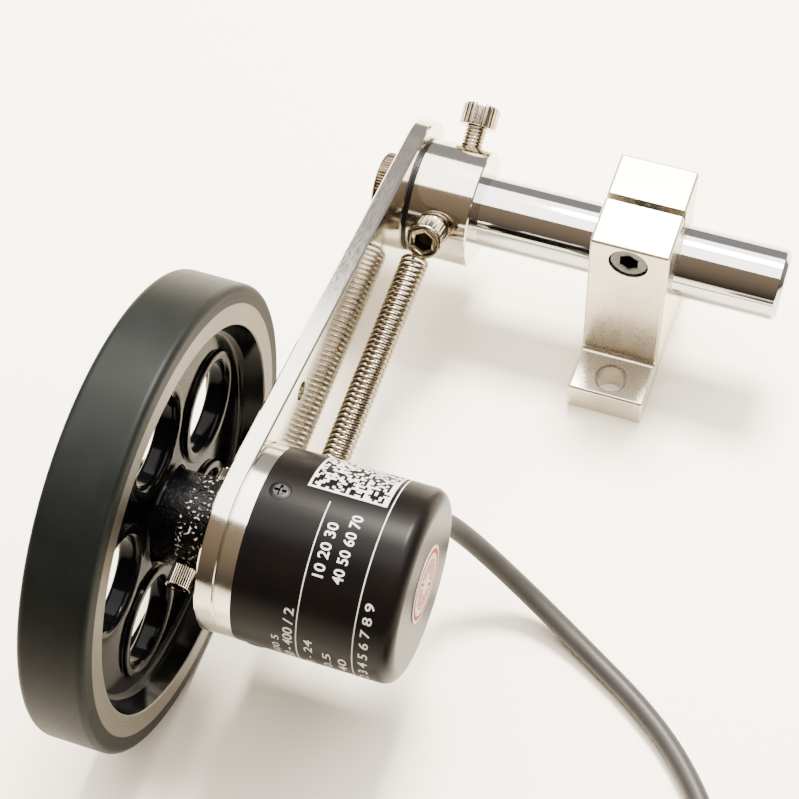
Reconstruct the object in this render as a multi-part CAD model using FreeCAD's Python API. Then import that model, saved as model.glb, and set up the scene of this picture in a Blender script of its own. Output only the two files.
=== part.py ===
import FreeCAD, Part
import math
import os

# Cable length counter: a rubber-tyred measuring wheel on a rotary encoder, carried by a sprung
# swing arm on a round shaft that a split block clamps.  Millimetres, +Z up.
# Origin: centre of the block's base face.  +X runs along the shaft away from the wheel,
# -Y runs along the arm from the pivot to the wheel.  The wheel and the block stand on z = 0.

Vec = FreeCAD.Vector
AXIS_X = Vec(1, 0, 0)
AXIS_Y = Vec(0, 1, 0)
AXIS_Z = Vec(0, 0, 1)

# Split shaft support block
block_length = 17.6
block_width = 25.0
block_height = 48.0
base_width = 48.0
lug_height = 7.5
shaft_drop = 16.0
bolt_inset = 5.0
bolt_hole_dia = 6.6
bolt_hole_chamfer = 0.4
slot_front = 0.6
slot_back = 1.2
block_edge_radius = 0.7
lug_root_radius = 1.2
clamp_screw_drop = 5.1
clamp_counterbore_depth = 5.4
clamp_counterbore_clear = 0.15
clamp_screw_length = 16.0

# M5 socket screws
m5_shank_dia = 5.0
m5_head_dia = 8.5
m5_head_height = 5.0
m5_socket = 4.0
m5_socket_depth = 2.6
screw_edge = 0.35

# Clamped shaft
shaft_dia = 16.0
shaft_end_x = 32.5
shaft_chamfer = 1.0
shaft_slip = 0.03

# Pivot collar on the shaft's end
collar_dia = 26.5
collar_face_x = -36.8
collar_length = 14.0
collar_bore_depth = 10.2
collar_edge = 0.3
lock_screw_x = -43.0
lock_screw_angle = 30.0
lock_screw_reach = 22.8
anchor_screw_x = -44.3
anchor_screw_angle = 25.0
anchor_screw_reach = 20.8
tip_gap = 0.12

# Pivot bolt, its bush and the washer between collar and arm
washer_thickness = 0.4
washer_dia = 26.0
face_gap = 0.05
bolt_head_dia = 15.2
bolt_head_height = 5.7
bolt_shoulder_dia = 10.0
bolt_thread_dia = 8.0
bolt_thread_length = 3.4
bolt_socket = 6.0
bolt_socket_depth = 2.8
bush_wall = 2.0
running_gap = 0.03

# Swing arm
arm_length = 103.0
arm_thickness = 4.0
arm_pivot_radius = 16.8
arm_edge = 0.35
post_hub_gap = 8.5
post_offset = 13.5

# Spring post, an M4 cheese-head screw in the arm
post_dia = 4.0
post_head_dia = 7.0
post_head_height = 2.6
post_head_gap = 1.3
post_slot_width = 1.0
post_slot_depth = 1.2

# Extension spring
wire_dia = 0.8
spring_mid_dia = 5.6
spring_x = -46.4
spring_top_reach = 18.6
spring_top_angle = 3.2
spring_turns = 41
hook_clear = 0.15
hook_seat = 1.05
hook_neck = 5.5
lower_hook_run = 4.6

# Measuring wheel: one turn measures the girth
wheel_girth = 300.0
wheel_width = 13.5
wheel_face_x = -64.4
tyre_thickness = 3.75
tyre_shoulder = 1.4
rim_thickness = 4.4
rim_draft = 1.6
web_depth = 5.1
web_thickness = 3.0
web_hole_dia = 18.4
web_hole_pitch_radius = 23.5
web_hole_count = 5
web_hole_start = 24.0
lip_width = 2.6
lip_height = 0.9
lip_edge_radius = 0.8
lip_mouth_radius = 1.4
hub_dia = 19.0
hub_end_x = -57.0
hub_back_inset = 1.5
hub_edge = 0.6
hub_screw_x = -61.4
hub_screw_start = -7.0
hub_screw_step = 202.0
hub_screw_stand = 0.3
hub_screw_head_dia = 5.2
hub_screw_head_height = 4.2
hub_screw_socket = 2.5
hub_screw_socket_depth = 1.6
m3_shank_dia = 3.0

# Rotary encoder
encoder_dia = 39.0
encoder_length = 35.6
flange_thickness = 3.5
boss_dia = 20.0
boss_extra = 0.5
encoder_shaft_dia = 6.0
shaft_in_hub = 12.0
cover_wall = 1.2
cover_end_wall = 1.5
cover_rear_radius = 3.0
cover_gap = 0.1
spigot_length = 6.5
spigot_wall = 2.4
spigot_clear = 0.15
mount_boss_gap = 1.1
mount_screw_count = 3
mount_screw_start = 90.0
flat_head_dia = 5.8
flat_head_depth = 1.7
mount_screw_length = 6.0
mount_screw_socket = 2.0
cover_screw_x = -44.2
cover_screw_count = 3
cover_screw_start = -24.0
cover_screw_shank_dia = 2.0
cover_screw_head_dia = 4.1
cover_screw_head_depth = 1.1
cover_screw_length = 3.2
cover_screw_proud = 0.15
fit_gap = 0.04
cross_slot_width = 0.6
cross_slot_depth = 0.5
cross_slot_span = 2.6
label_dia = 15.7
label_thickness = 0.2
label_aside = 0.7
label_rise = 0.8

# Inside the encoder
bearing_dia = 13.0
bearing_width = 5.0
ring_wall = 1.0
ball_dia = 1.4
ball_count = 9
front_bearing_x = -54.6
rear_bearing_x = -43.6
housing_dia = 22.0
housing_end_x = -38.4
shaft_tail_x = -34.4
retaining_ring_dia = 9.0
retaining_ring_thickness = 0.5
disc_hub_dia = 9.0
disc_hub_length = 2.8
code_disc_inset = 3.5
code_disc_thickness = 0.5
board_clear = 1.8
board_thickness = 1.6
board_x = -31.0
board_post_dia = 3.0
board_post_count = 3
board_post_start = 70.0
m2_shank_dia = 1.6
m2_head_dia = 3.2
m2_head_height = 1.2
m2_length = 4.0
sensor_width = 8.0
sensor_depth = 5.8
sensor_outside = 2.2
sensor_jaw = 1.3
sensor_slot_clear = 0.45
sensor_seat_gap = 0.05

# Cable: free stretch, coil and bare end
cable_dia = 4.5
cable_length = 1500.0
gland_x = -22.8
gland_angle = 36.0
gland_length = 3.0
gland_dia = 7.8
gland_tip_dia = 6.4
gland_neck_dia = 6.6
gland_flange = 0.9
coil_mid_dia = 49.8
coil_layers = 4
coil_layer_turns = 2.5
coil_gap = 0.55
coil_climb_turns = 0.5
coil_station_turns = 0.25
tie_width = 3.5
tie_thickness = 0.4
tie_clear = 0.3
tie_turn = 0.25
tie_head_length = 5.0
tie_head_height = 3.2
tie_corner_slack = 0.01
sleeve_length = 9.0
sleeve_wall = 0.35
core_dia = 1.1
core_spread = 1.6
core_run = 24.0
core_ring_dia = 2.6
core_ring_drop = 0.65
core_count = 5
core_rest_gap = 0.3
tip_length = 4.5
tip_dia = 0.7

# Points of the cable's free stretch after the gland, chosen by hand
cable_route = [
    (-22.8, -78.6, 30.9),
    (-20.6, -75.6, 26.6),
    (-16.4, -74.7, 21.1),
    (-10.5, -75.0, 14.8),
    (-2.9, -76.4, 8.1),
    (5.5, -79.7, 4.3),
    (15.6, -85.0, 2.4),
    (26.7, -91.6, 2.3),
    (36.7, -99.4, 2.3),
    (45.4, -109.4, 2.3),
    (58.8, -129.4, 3.0),
    (67.9, -147.8, 3.0),
]

# Places that follow from the sizes
overrun = 1.0
straight_share = 1e-5
corner_share = 0.45
wheel_radius = wheel_girth / (2 * math.pi)
bolt_spacing = base_width - 2 * bolt_inset
shaft_height = block_height - shaft_drop
post_station = arm_length - encoder_dia / 2 - post_hub_gap
mount_circle_dia = boss_dia + flat_head_dia + 2 * mount_boss_gap
board_dia = encoder_dia - 2 * cover_wall - 2 * board_clear
board_post_radius = (board_dia - board_post_dia) / 2
code_disc_dia = board_dia - 2 * code_disc_inset
sensor_outer_radius = code_disc_dia / 2 + sensor_outside
sensor_inner_radius = sensor_outer_radius - sensor_depth
pivot = Vec(0, 0, shaft_height)
arm_tilt = math.asin((wheel_radius - shaft_height) / arm_length)
arm_along = Vec(0, -math.cos(arm_tilt), math.sin(arm_tilt))
arm_across = Vec(0, -math.sin(arm_tilt), -math.cos(arm_tilt))
hub_centre = pivot + arm_along * arm_length
collar_end_x = collar_face_x - collar_length
arm_near_x = collar_end_x - washer_thickness - 2 * face_gap
arm_far_x = arm_near_x - arm_thickness
cover_front_x = arm_near_x + flange_thickness
cover_end_x = arm_near_x + encoder_length
cover_inner_radius = encoder_dia / 2 - cover_wall
wheel_back_x = wheel_face_x - wheel_width
web_near_x = wheel_face_x - web_depth
web_far_x = web_near_x - web_thickness
rim_radius = wheel_radius - tyre_thickness
rim_inner_radius = rim_radius - rim_thickness
gland_dir = Vec(0, math.cos(math.radians(gland_angle)), -math.sin(math.radians(gland_angle)))
gland_root = Vec(gland_x, hub_centre.y, hub_centre.z) + gland_dir * (encoder_dia / 2)
gland_exit = gland_root + gland_dir * gland_length


def save(name, shape):
    """Write one node and print what it holds."""
    shape.exportStep("parts/" + name + ".step")
    print("%-24s solids %2d  volume %10.2f  valid %s"
          % (name, len(shape.Solids), shape.Volume, shape.isValid()))


def group(solids):
    return Part.makeCompound(solids)


def at_x(x, centre):
    return Vec(x, centre.y, centre.z)


def rod(start_x, end_x, diameter, centre):
    """Round bar along X between two stations."""
    low = min(start_x, end_x)
    return Part.makeCylinder(diameter / 2, abs(end_x - start_x), at_x(low, centre), AXIS_X)


def tube_x(start_x, end_x, outer, inner, centre):
    low = min(start_x, end_x)
    high = max(start_x, end_x)
    return rod(low, high, outer, centre).cut(rod(low - overrun, high + overrun, inner, centre))


def square_to(direction):
    """Two unit vectors square to a direction."""
    side = AXIS_X if abs(direction.x) * 2 < direction.Length else AXIS_Y
    first = direction.cross(side).normalize()
    return first, direction.cross(first).normalize()


def turned(profile, base, direction):
    """Solid of revolution of (along, radius) points about the axis through base."""
    axis = Vec(direction).normalize()
    out = square_to(axis)[0]
    points = [base + axis * along + out * radius for along, radius in profile]
    face = Part.Face(Part.makePolygon(points + [points[0]]))
    return face.revolve(base, axis, 360)


def hex_prism(base, direction, across_flats, depth):
    axis = Vec(direction).normalize()
    first, second = square_to(axis)
    corner = across_flats / math.sqrt(3)
    points = []
    for step in range(7):
        turn = math.radians(60 * step)
        points.append(base + first * (corner * math.cos(turn)) + second * (corner * math.sin(turn)))
    return Part.Face(Part.makePolygon(points)).extrude(axis * depth)


def socket_screw(seat, direction, sizes, length, edge):
    """Socket-head screw whose head starts at seat and whose shank runs against direction."""
    head_dia, head_height, shank_dia, socket, socket_depth = sizes
    head = head_dia / 2
    shank = shank_dia / 2
    profile = [
        (-length, 0),
        (-length, shank - edge),
        (edge - length, shank),
        (0, shank),
        (0, head - edge / 2),
        (edge / 2, head),
        (head_height - edge, head),
        (head_height, head - edge),
        (head_height, 0),
    ]
    axis = Vec(direction).normalize()
    key = hex_prism(seat + axis * (head_height - socket_depth), axis, socket, socket_depth + overrun)
    return turned(profile, seat, axis).cut(key)


def flat_screw(face, direction, sizes, length, proud):
    """Flat-head screw whose head top stands proud of face, pointing along direction."""
    head_dia, head_depth, shank_dia = sizes
    profile = [
        (-length, 0),
        (-length, shank_dia / 2),
        (-head_depth, shank_dia / 2),
        (0, head_dia / 2),
        (proud, head_dia / 2),
        (proud, 0),
    ]
    return turned(profile, face, direction)


def flat_sink(face, direction, sizes, gap):
    """The countersunk hole that a flat-head screw's head sits in."""
    head_dia, head_depth, shank_dia = sizes
    profile = [
        (-head_depth - overrun, 0),
        (-head_depth - overrun, shank_dia / 2 + gap),
        (-head_depth, shank_dia / 2 + gap),
        (0, head_dia / 2 + gap),
        (overrun, head_dia / 2 + gap),
        (overrun, 0),
    ]
    return turned(profile, face, direction)


def ring_places(count, start, radius, centre, x):
    """Places on a circle about an X axis; angles are taken from -Y towards +Z."""
    places = []
    for step in range(count):
        turn = math.radians(start + 360 * step / count)
        out = Vec(0, -math.cos(turn), math.sin(turn))
        places.append((at_x(x, centre) + out * radius, out))
    return places


def arc_edge(start, corner, end):
    """Arc tangent to start-corner at start and to corner-end at end, both legs alike."""
    middle = (start + end) * 0.5
    half_chord = (end - start).Length / 2
    rise = corner - middle
    if rise.Length < half_chord * straight_share:
        return Part.makeLine(start, end)
    slope = math.atan2(rise.Length, half_chord)
    top = middle + rise.normalize() * (half_chord * math.tan(slope / 2))
    return Part.Arc(start, top, end).toShape()


def biarc(start, start_dir, end, end_dir):
    """Two tangent arcs, with equal legs, from one point and direction to another."""
    span = end - start
    both = start_dir + end_dir
    bend = 2 * (1 - start_dir.dot(end_dir))
    along = span.dot(both)
    if bend < straight_share ** 2:
        if span.cross(start_dir).Length < span.Length * straight_share:
            return [Part.makeLine(start, end)]
        leg = span.dot(span) / (4 * span.dot(end_dir))
    else:
        leg = (-along + math.sqrt(along * along + bend * span.dot(span))) / bend
    first = start + start_dir * leg
    second = end - end_dir * leg
    joint = (first + second) * 0.5
    return [arc_edge(start, first, joint), arc_edge(joint, second, end)]


def smooth_path(stations, lead_in, lead_out):
    """Wire of biarcs through (point, direction) stations with straight ends."""
    first, first_dir = stations[0]
    last, last_dir = stations[-1]
    edges = []
    if lead_in:
        edges.append(Part.makeLine(first - first_dir * lead_in, first))
    for (start, start_dir), (end, end_dir) in zip(stations, stations[1:]):
        edges += biarc(start, start_dir, end, end_dir)
    if lead_out:
        edges.append(Part.makeLine(last, last + last_dir * lead_out))
    return Part.Wire(edges)


def sweep(path, diameter):
    """One unbroken round tube along a path."""
    first = path.OrderedEdges[0]
    start = first.valueAt(first.FirstParameter)
    heading = first.tangentAt(first.FirstParameter)
    section = Part.Wire([Part.makeCircle(diameter / 2, start, heading)])
    return path.makePipeShell([section], True, False)


def tightest(path):
    """Smallest radius of the arcs of a path."""
    radii = [edge.Curve.Radius for edge in path.Edges if hasattr(edge.Curve, "Radius")]
    return min(radii)


def least_gap(path, diameter):
    """Least clear gap of a wound tube to itself, on points along its path."""
    step = diameter / 2
    points = path.discretize(Distance=step)
    cell = 4 * diameter
    skip = cell / step
    table = {}
    for index, point in enumerate(points):
        key = (int(point.x // cell), int(point.y // cell), int(point.z // cell))
        table.setdefault(key, []).append(index)
    least = None
    for (kx, ky, kz), members in table.items():
        near = []
        for dx in (-1, 0, 1):
            for dy in (-1, 0, 1):
                for dz in (-1, 0, 1):
                    near += table.get((kx + dx, ky + dy, kz + dz), [])
        for i in members:
            for j in near:
                if j - i > skip:
                    reach = (points[i] - points[j]).Length
                    least = reach if least is None else min(least, reach)
    return least - diameter


def support_block():
    """Foot with two lugs and a split upper part, bored for the shaft."""
    half = base_width / 2
    side = block_width / 2
    outline = [
        (-half, 0), (half, 0), (half, lug_height), (side, lug_height),
        (side, block_height), (-side, block_height), (-side, lug_height), (-half, lug_height),
    ]
    low = -block_length / 2
    points = [Vec(low, y, z) for y, z in outline]
    solid = Part.Face(Part.makePolygon(points + [points[0]])).extrude(AXIS_X * block_length)
    solid = solid.makeFillet(lug_root_radius, [edge for edge in solid.Edges if at_lug_root(edge, 0)])
    rims = []
    for edge in solid.Edges:
        along_x = abs(edge.CenterOfMass.x) < fit_gap
        if edge.CenterOfMass.z > fit_gap and not (along_x and at_lug_root(edge, lug_root_radius)):
            rims.append(edge)
    solid = solid.makeFillet(block_edge_radius, rims)
    solid = solid.cut(rod(low - overrun, -low + overrun, shaft_dia + 2 * shaft_slip, pivot))
    slot = Part.makeBox(block_length + 2 * overrun, slot_front + slot_back, block_height,
                        Vec(low - overrun, -slot_front, shaft_height))
    solid = solid.cut(slot)
    for sign in (-1, 1):
        place = Vec(0, sign * bolt_spacing / 2, 0)
        solid = solid.cut(Part.makeCylinder(bolt_hole_dia / 2, lug_height + overrun, place, AXIS_Z))
        mouth = Part.makeCone(bolt_hole_dia / 2, bolt_hole_dia / 2 + bolt_hole_chamfer + overrun,
                              bolt_hole_chamfer + overrun,
                              place + AXIS_Z * (lug_height - bolt_hole_chamfer), AXIS_Z)
        solid = solid.cut(mouth)
    seat = clamp_seat()
    head = m5_head_dia / 2 + clamp_counterbore_clear
    solid = solid.cut(Part.makeCylinder(head, clamp_counterbore_depth + overrun, seat, -AXIS_Y))
    shank = m5_shank_dia / 2 + fit_gap
    solid = solid.cut(Part.makeCylinder(shank, block_width, seat, AXIS_Y))
    return solid


def at_lug_root(edge, reach):
    """Whether an edge lies within reach of the corner between a lug and the upright."""
    centre = edge.CenterOfMass
    aside = abs(abs(centre.y) - block_width / 2)
    return aside < reach + fit_gap and abs(centre.z - lug_height) < reach + fit_gap


def clamp_seat():
    """Floor of the counterbore that the clamp screw's head sits on."""
    return Vec(0, clamp_counterbore_depth - block_width / 2, block_height - clamp_screw_drop)


def m5_screw(seat, direction, length):
    sizes = (m5_head_dia, m5_head_height, m5_shank_dia, m5_socket, m5_socket_depth)
    return socket_screw(seat, direction, sizes, length, screw_edge)


def pivot_shaft():
    """Ground round bar; its inner end sits in the collar's blind bore."""
    start = collar_inner_x() + face_gap
    length = shaft_end_x - start
    radius = shaft_dia / 2
    profile = [
        (0, 0), (0, radius - shaft_chamfer), (shaft_chamfer, radius),
        (length - shaft_chamfer, radius), (length, radius - shaft_chamfer), (length, 0),
    ]
    return turned(profile, at_x(start, pivot), AXIS_X)


def collar_inner_x():
    return collar_face_x - collar_bore_depth


def radial(angle, back):
    """Direction in the YZ plane, raised by angle from -Y, or from +Y when back."""
    turn = math.radians(angle)
    return Vec(0, math.cos(turn) if back else -math.cos(turn), math.sin(turn))


def pivot_collar():
    """Turned collar: blind bore for the shaft, tapped end wall for the pivot bolt."""
    radius = collar_dia / 2
    profile = [
        (0, 0), (0, radius - collar_edge), (collar_edge, radius),
        (collar_length - collar_edge, radius), (collar_length, radius - collar_edge),
        (collar_length, 0),
    ]
    solid = turned(profile, at_x(collar_end_x, pivot), AXIS_X)
    solid = solid.cut(rod(collar_inner_x(), collar_face_x + overrun, shaft_dia + 2 * shaft_slip, pivot))
    solid = solid.cut(rod(collar_end_x - overrun, collar_inner_x() + overrun,
                          bolt_thread_dia + 2 * fit_gap, pivot))
    for x, direction in ((lock_screw_x, radial(lock_screw_angle, True)),
                         (anchor_screw_x, radial(anchor_screw_angle, False))):
        solid = solid.cut(Part.makeCylinder(m5_shank_dia / 2 + fit_gap, collar_dia,
                                            at_x(x, pivot), direction))
    return solid


def collar_screw(x, direction, reach):
    """M5 screw in the collar whose tip bears on the shaft."""
    under = reach - m5_head_height
    length = under - shaft_dia / 2 - tip_gap
    return m5_screw(at_x(x, pivot) + direction * under, direction, length)


def thrust_washer():
    start = collar_end_x - face_gap
    return tube_x(start - washer_thickness, start, washer_dia, bolt_shoulder_dia + 2 * running_gap, pivot)


def pivot_bolt():
    """Shoulder bolt: the arm's bush turns on the shoulder, the thread holds in the collar."""
    head_x = arm_far_x - 2 * face_gap
    shoulder = collar_end_x - head_x
    head = bolt_head_dia / 2
    edge = screw_edge
    profile = [
        (-bolt_head_height, 0),
        (-bolt_head_height, head - 2 * edge),
        (2 * edge - bolt_head_height, head),
        (0, head),
        (0, bolt_shoulder_dia / 2),
        (shoulder, bolt_shoulder_dia / 2),
        (shoulder, bolt_thread_dia / 2),
        (shoulder + bolt_thread_length, bolt_thread_dia / 2),
        (shoulder + bolt_thread_length, 0),
    ]
    base = at_x(head_x, pivot)
    solid = turned(profile, base, AXIS_X)
    start = at_x(head_x - bolt_head_height - overrun, pivot)
    return solid.cut(hex_prism(start, AXIS_X, bolt_socket, bolt_socket_depth + overrun))


def bush_outer():
    return bolt_shoulder_dia + 2 * running_gap + 2 * bush_wall


def pivot_bush():
    return tube_x(arm_far_x, arm_near_x, bush_outer(), bolt_shoulder_dia + 2 * running_gap, pivot)


def arm_place(station, offset):
    return pivot + arm_along * station + arm_across * offset


def swing_arm():
    """Flat bar that widens from the pivot's round end to the encoder's."""
    big = encoder_dia / 2
    small = arm_pivot_radius
    lean = math.asin((big - small) / arm_length)
    lift = arm_across * math.cos(lean)
    back = arm_along * -math.sin(lean)
    low_pivot = pivot + (lift + back) * small
    high_pivot = pivot + (back - lift) * small
    low_hub = hub_centre + (lift + back) * big
    high_hub = hub_centre + (back - lift) * big
    edges = [
        Part.Arc(high_pivot, pivot - arm_along * small, low_pivot).toShape(),
        Part.makeLine(low_pivot, low_hub),
        Part.Arc(low_hub, hub_centre + arm_along * big, high_hub).toShape(),
        Part.makeLine(high_hub, high_pivot),
    ]
    face = Part.Face(Part.Wire(edges))
    face.translate(AXIS_X * arm_far_x)
    solid = face.extrude(AXIS_X * arm_thickness)
    solid = solid.makeChamfer(arm_edge, [edge for edge in solid.Edges
                                         if abs(edge.tangentAt(edge.FirstParameter).x) * 2 < 1])
    solid = solid.cut(rod(arm_far_x - overrun, arm_near_x + overrun, bush_outer(), pivot))
    solid = solid.cut(rod(arm_far_x - overrun, arm_near_x + overrun, boss_dia + 2 * fit_gap, hub_centre))
    for offset in (post_offset, -post_offset):
        solid = solid.cut(rod(arm_far_x - overrun, arm_near_x + overrun, post_dia + 2 * fit_gap,
                              arm_place(post_station, offset)))
    for place, out in mount_places():
        solid = solid.cut(rod(arm_far_x, arm_near_x + overrun, m3_shank_dia + 2 * fit_gap, place))
        solid = solid.cut(flat_sink(at_x(arm_far_x, place), -AXIS_X, mount_screw_sizes(), fit_gap))
    return solid


def mount_screw_sizes():
    return flat_head_dia, flat_head_depth, m3_shank_dia


def mount_places():
    return ring_places(mount_screw_count, mount_screw_start, mount_circle_dia / 2, hub_centre, arm_far_x)


def encoder_mount_screws():
    """Flat-head screws from the arm's wheel side into the flange, heads flush."""
    screws = []
    for place, out in mount_places():
        screw = flat_screw(place, -AXIS_X, mount_screw_sizes(), mount_screw_length, 0)
        key = hex_prism(place + AXIS_X * (flat_head_depth / 2), -AXIS_X, mount_screw_socket, flat_head_depth)
        screws.append(screw.cut(key))
    return group(screws)


def spring_post():
    """Cheese-head screw in the arm that the spring's lower hook hangs on."""
    place = arm_place(post_station, post_offset)
    seat_x = spring_x + wire_dia / 2 + post_head_gap
    solid = rod(arm_far_x, seat_x, post_dia, place)
    head = rod(seat_x, seat_x + post_head_height, post_head_dia, place)
    slot = Part.makeBox(post_slot_depth + overrun, post_slot_width, post_head_dia + 2 * overrun,
                        Vec(seat_x + post_head_height - post_slot_depth, place.y - post_slot_width / 2,
                            place.z - post_head_dia / 2 - overrun))
    return solid.fuse(head).cut(slot).removeSplitter()


def spring_stations():
    """Points and directions of the spring wire: lower hook, coils, neck, upper hook."""
    radius = spring_mid_dia / 2
    post = at_x(spring_x, arm_place(post_station, post_offset))
    top = at_x(spring_x, pivot) + radial(spring_top_angle, False) * spring_top_reach
    axis = (top - post).normalize()
    up = AXIS_X.cross(axis).normalize()
    bottom = post + axis * lower_hook_run
    quarters = 4 * spring_turns + 1
    pitch = 4 * (top - bottom).Length / quarters
    stations = []
    lower = post_dia / 2 + wire_dia / 2 + hook_clear
    for turn in range(-70, 181, 50):
        angle = math.radians(turn)
        place = post - up * (lower * math.cos(angle)) - axis * (lower * math.sin(angle))
        stations.append((place, up * math.sin(angle) - axis * math.cos(angle)))
    for quarter in range(quarters + 1):
        angle = math.pi + quarter * math.pi / 2
        place = (bottom + axis * (pitch * quarter / 4) - AXIS_X * (radius * math.cos(angle))
                 + up * (radius * math.sin(angle)))
        heading = (AXIS_X * (radius * math.sin(angle)) + up * (radius * math.cos(angle))
                   + axis * (pitch / (2 * math.pi)))
        stations.append((place, heading.normalize()))
    out = radial(anchor_screw_angle, False)
    lift = out.cross(AXIS_X).normalize()
    seat = at_x(anchor_screw_x, pivot) + out * (collar_dia / 2 + hook_seat)
    upper = m5_shank_dia / 2 + wire_dia / 2 + hook_clear
    stations.append((seat - AXIS_X * upper - lift * hook_neck, lift))
    for turn in range(0, 176, 35):
        angle = math.radians(turn)
        place = seat - AXIS_X * (upper * math.cos(angle)) + lift * (upper * math.sin(angle))
        stations.append((place, lift * math.cos(angle) + AXIS_X * math.sin(angle)))
    print("spring pitch %.3f, curls %d" % (pitch, spring_turns))
    return stations


def extension_spring():
    path = smooth_path(spring_stations(), wire_dia, wire_dia)
    solid = sweep(path, wire_dia)
    print("spring least gap %.3f, tightest radius %.2f, volume over section x length %.4f"
          % (least_gap(path, wire_dia), tightest(path),
             solid.Volume / (math.pi * wire_dia * wire_dia / 4 * path.Length)))
    return solid


def encoder_flange():
    """Flange, pilot boss, bearing housing, cover spigot and board posts in one turning."""
    radius = encoder_dia / 2
    solid = rod(arm_near_x, cover_front_x, encoder_dia, hub_centre)
    solid = solid.makeChamfer(screw_edge, [edge for edge in solid.Edges
                                           if edge.CenterOfMass.x < arm_near_x + fit_gap])
    solid = solid.fuse(rod(arm_far_x - boss_extra, arm_near_x, boss_dia, hub_centre))
    solid = solid.fuse(rod(cover_front_x, housing_end_x, housing_dia, hub_centre))
    spigot = 2 * (radius - cover_wall - spigot_clear)
    solid = solid.fuse(tube_x(cover_front_x, cover_front_x + spigot_length, spigot,
                              spigot - 2 * spigot_wall, hub_centre))
    for place, out in board_post_places():
        solid = solid.fuse(rod(cover_front_x, board_x, board_post_dia, place))
    solid = solid.cut(rod(front_bearing_x, housing_end_x + overrun, bearing_dia, hub_centre))
    solid = solid.cut(rod(arm_far_x - boss_extra - overrun, front_bearing_x + overrun,
                          encoder_shaft_dia + 4 * ring_wall, hub_centre))
    for place, out in mount_places():
        solid = solid.cut(rod(arm_near_x - overrun, arm_far_x + mount_screw_length + fit_gap,
                              m3_shank_dia + 2 * fit_gap, place))
    for place, out in cover_screw_places():
        solid = solid.cut(Part.makeCylinder(cover_screw_shank_dia / 2 + fit_gap,
                                            cover_screw_length + fit_gap, place, -out))
    for place, out in board_post_places():
        solid = solid.cut(rod(board_x - m2_length + board_thickness - fit_gap, board_x + overrun,
                              m2_shank_dia + 2 * fit_gap, place))
    return solid.removeSplitter()


def board_post_places():
    return ring_places(board_post_count, board_post_start, board_post_radius, hub_centre, board_x)


def cover_screw_places():
    return ring_places(cover_screw_count, cover_screw_start, encoder_dia / 2, hub_centre, cover_screw_x)


def cover_screw_sizes():
    return cover_screw_head_dia, cover_screw_head_depth, cover_screw_shank_dia


def encoder_cover():
    """Deep drawn cup with a rounded rear edge, screw holes and the cable's hole."""
    solid = rod(cover_front_x + face_gap, cover_end_x, encoder_dia, hub_centre)
    rear = [edge for edge in solid.Edges
            if edge.CenterOfMass.x > cover_end_x - fit_gap and edge.Curve.TypeId == "Part::GeomCircle"]
    solid = solid.makeFillet(cover_rear_radius, rear)
    floor_x = cover_end_x - cover_end_wall
    inner = rod(cover_front_x - overrun, floor_x, 2 * cover_inner_radius, hub_centre)
    inner = inner.makeFillet(max(cover_rear_radius - cover_wall, screw_edge),
                             [edge for edge in inner.Edges if edge.CenterOfMass.x > floor_x - fit_gap
                              and edge.Curve.TypeId == "Part::GeomCircle"])
    solid = solid.cut(inner)
    for place, out in cover_screw_places():
        solid = solid.cut(flat_sink(place, out, cover_screw_sizes(), cover_gap))
    start = gland_root - gland_dir * (2 * cover_wall)
    solid = solid.cut(Part.makeCylinder(gland_neck_dia / 2 + fit_gap, 4 * cover_wall, start, gland_dir))
    return solid


def cover_screws():
    """Small cross-slotted flat-head screws round the cover."""
    screws = []
    for place, out in cover_screw_places():
        screw = flat_screw(place, out, cover_screw_sizes(), cover_screw_length, cover_screw_proud)
        side = out.cross(AXIS_X).normalize()
        reach = cross_slot_span / 2
        for long_way, short_way in ((AXIS_X, side), (side, AXIS_X)):
            corner = (place + out * (cover_screw_proud - cross_slot_depth) - long_way * reach
                      - short_way * (cross_slot_width / 2))
            across = [corner, corner + long_way * (2 * reach),
                      corner + long_way * (2 * reach) + short_way * cross_slot_width,
                      corner + short_way * cross_slot_width, corner]
            blade = Part.Face(Part.makePolygon(across)).extrude(out * (cross_slot_depth + overrun))
            screw = screw.cut(blade)
        screws.append(screw)
    return group(screws)


def bearing_stations():
    return front_bearing_x, rear_bearing_x


def bearing_rings(outer, inner):
    return group([tube_x(x + face_gap, x + bearing_width - face_gap, outer, inner, hub_centre)
                  for x in bearing_stations()])


def bearing_balls():
    """Balls between the rings, on the circle half way between them."""
    inner = encoder_shaft_dia + 2 * ring_wall
    outer = bearing_dia - 2 * ring_wall
    circle = (inner + outer) / 4
    size = min(ball_dia, (outer - inner) / 2 - 2 * face_gap)
    balls = []
    for x in bearing_stations():
        for place, out in ring_places(ball_count, 0, circle, hub_centre, x + bearing_width / 2):
            balls.append(Part.makeSphere(size / 2, place))
    return group(balls)


def encoder_shaft():
    start = hub_end_x - shaft_in_hub
    radius = encoder_shaft_dia / 2
    length = shaft_tail_x - start
    profile = [(0, 0), (0, radius - screw_edge), (screw_edge, radius),
               (length, radius), (length, 0)]
    return turned(profile, at_x(start, hub_centre), AXIS_X)


def retaining_ring():
    start = rear_bearing_x + bearing_width + face_gap
    return tube_x(start, start + retaining_ring_thickness, retaining_ring_dia,
                  encoder_shaft_dia + 2 * fit_gap, hub_centre)


def disc_hub():
    end = shaft_tail_x
    hub = tube_x(end - disc_hub_length, end, disc_hub_dia, encoder_shaft_dia + 2 * fit_gap, hub_centre)
    return hub


def disc_start_x():
    return shaft_tail_x - disc_hub_length / 2 - code_disc_thickness / 2


def code_disc():
    """Thin slotted disc on its hub."""
    start = disc_start_x()
    return tube_x(start, start + code_disc_thickness, code_disc_dia, disc_hub_dia + 2 * fit_gap, hub_centre)


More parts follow.
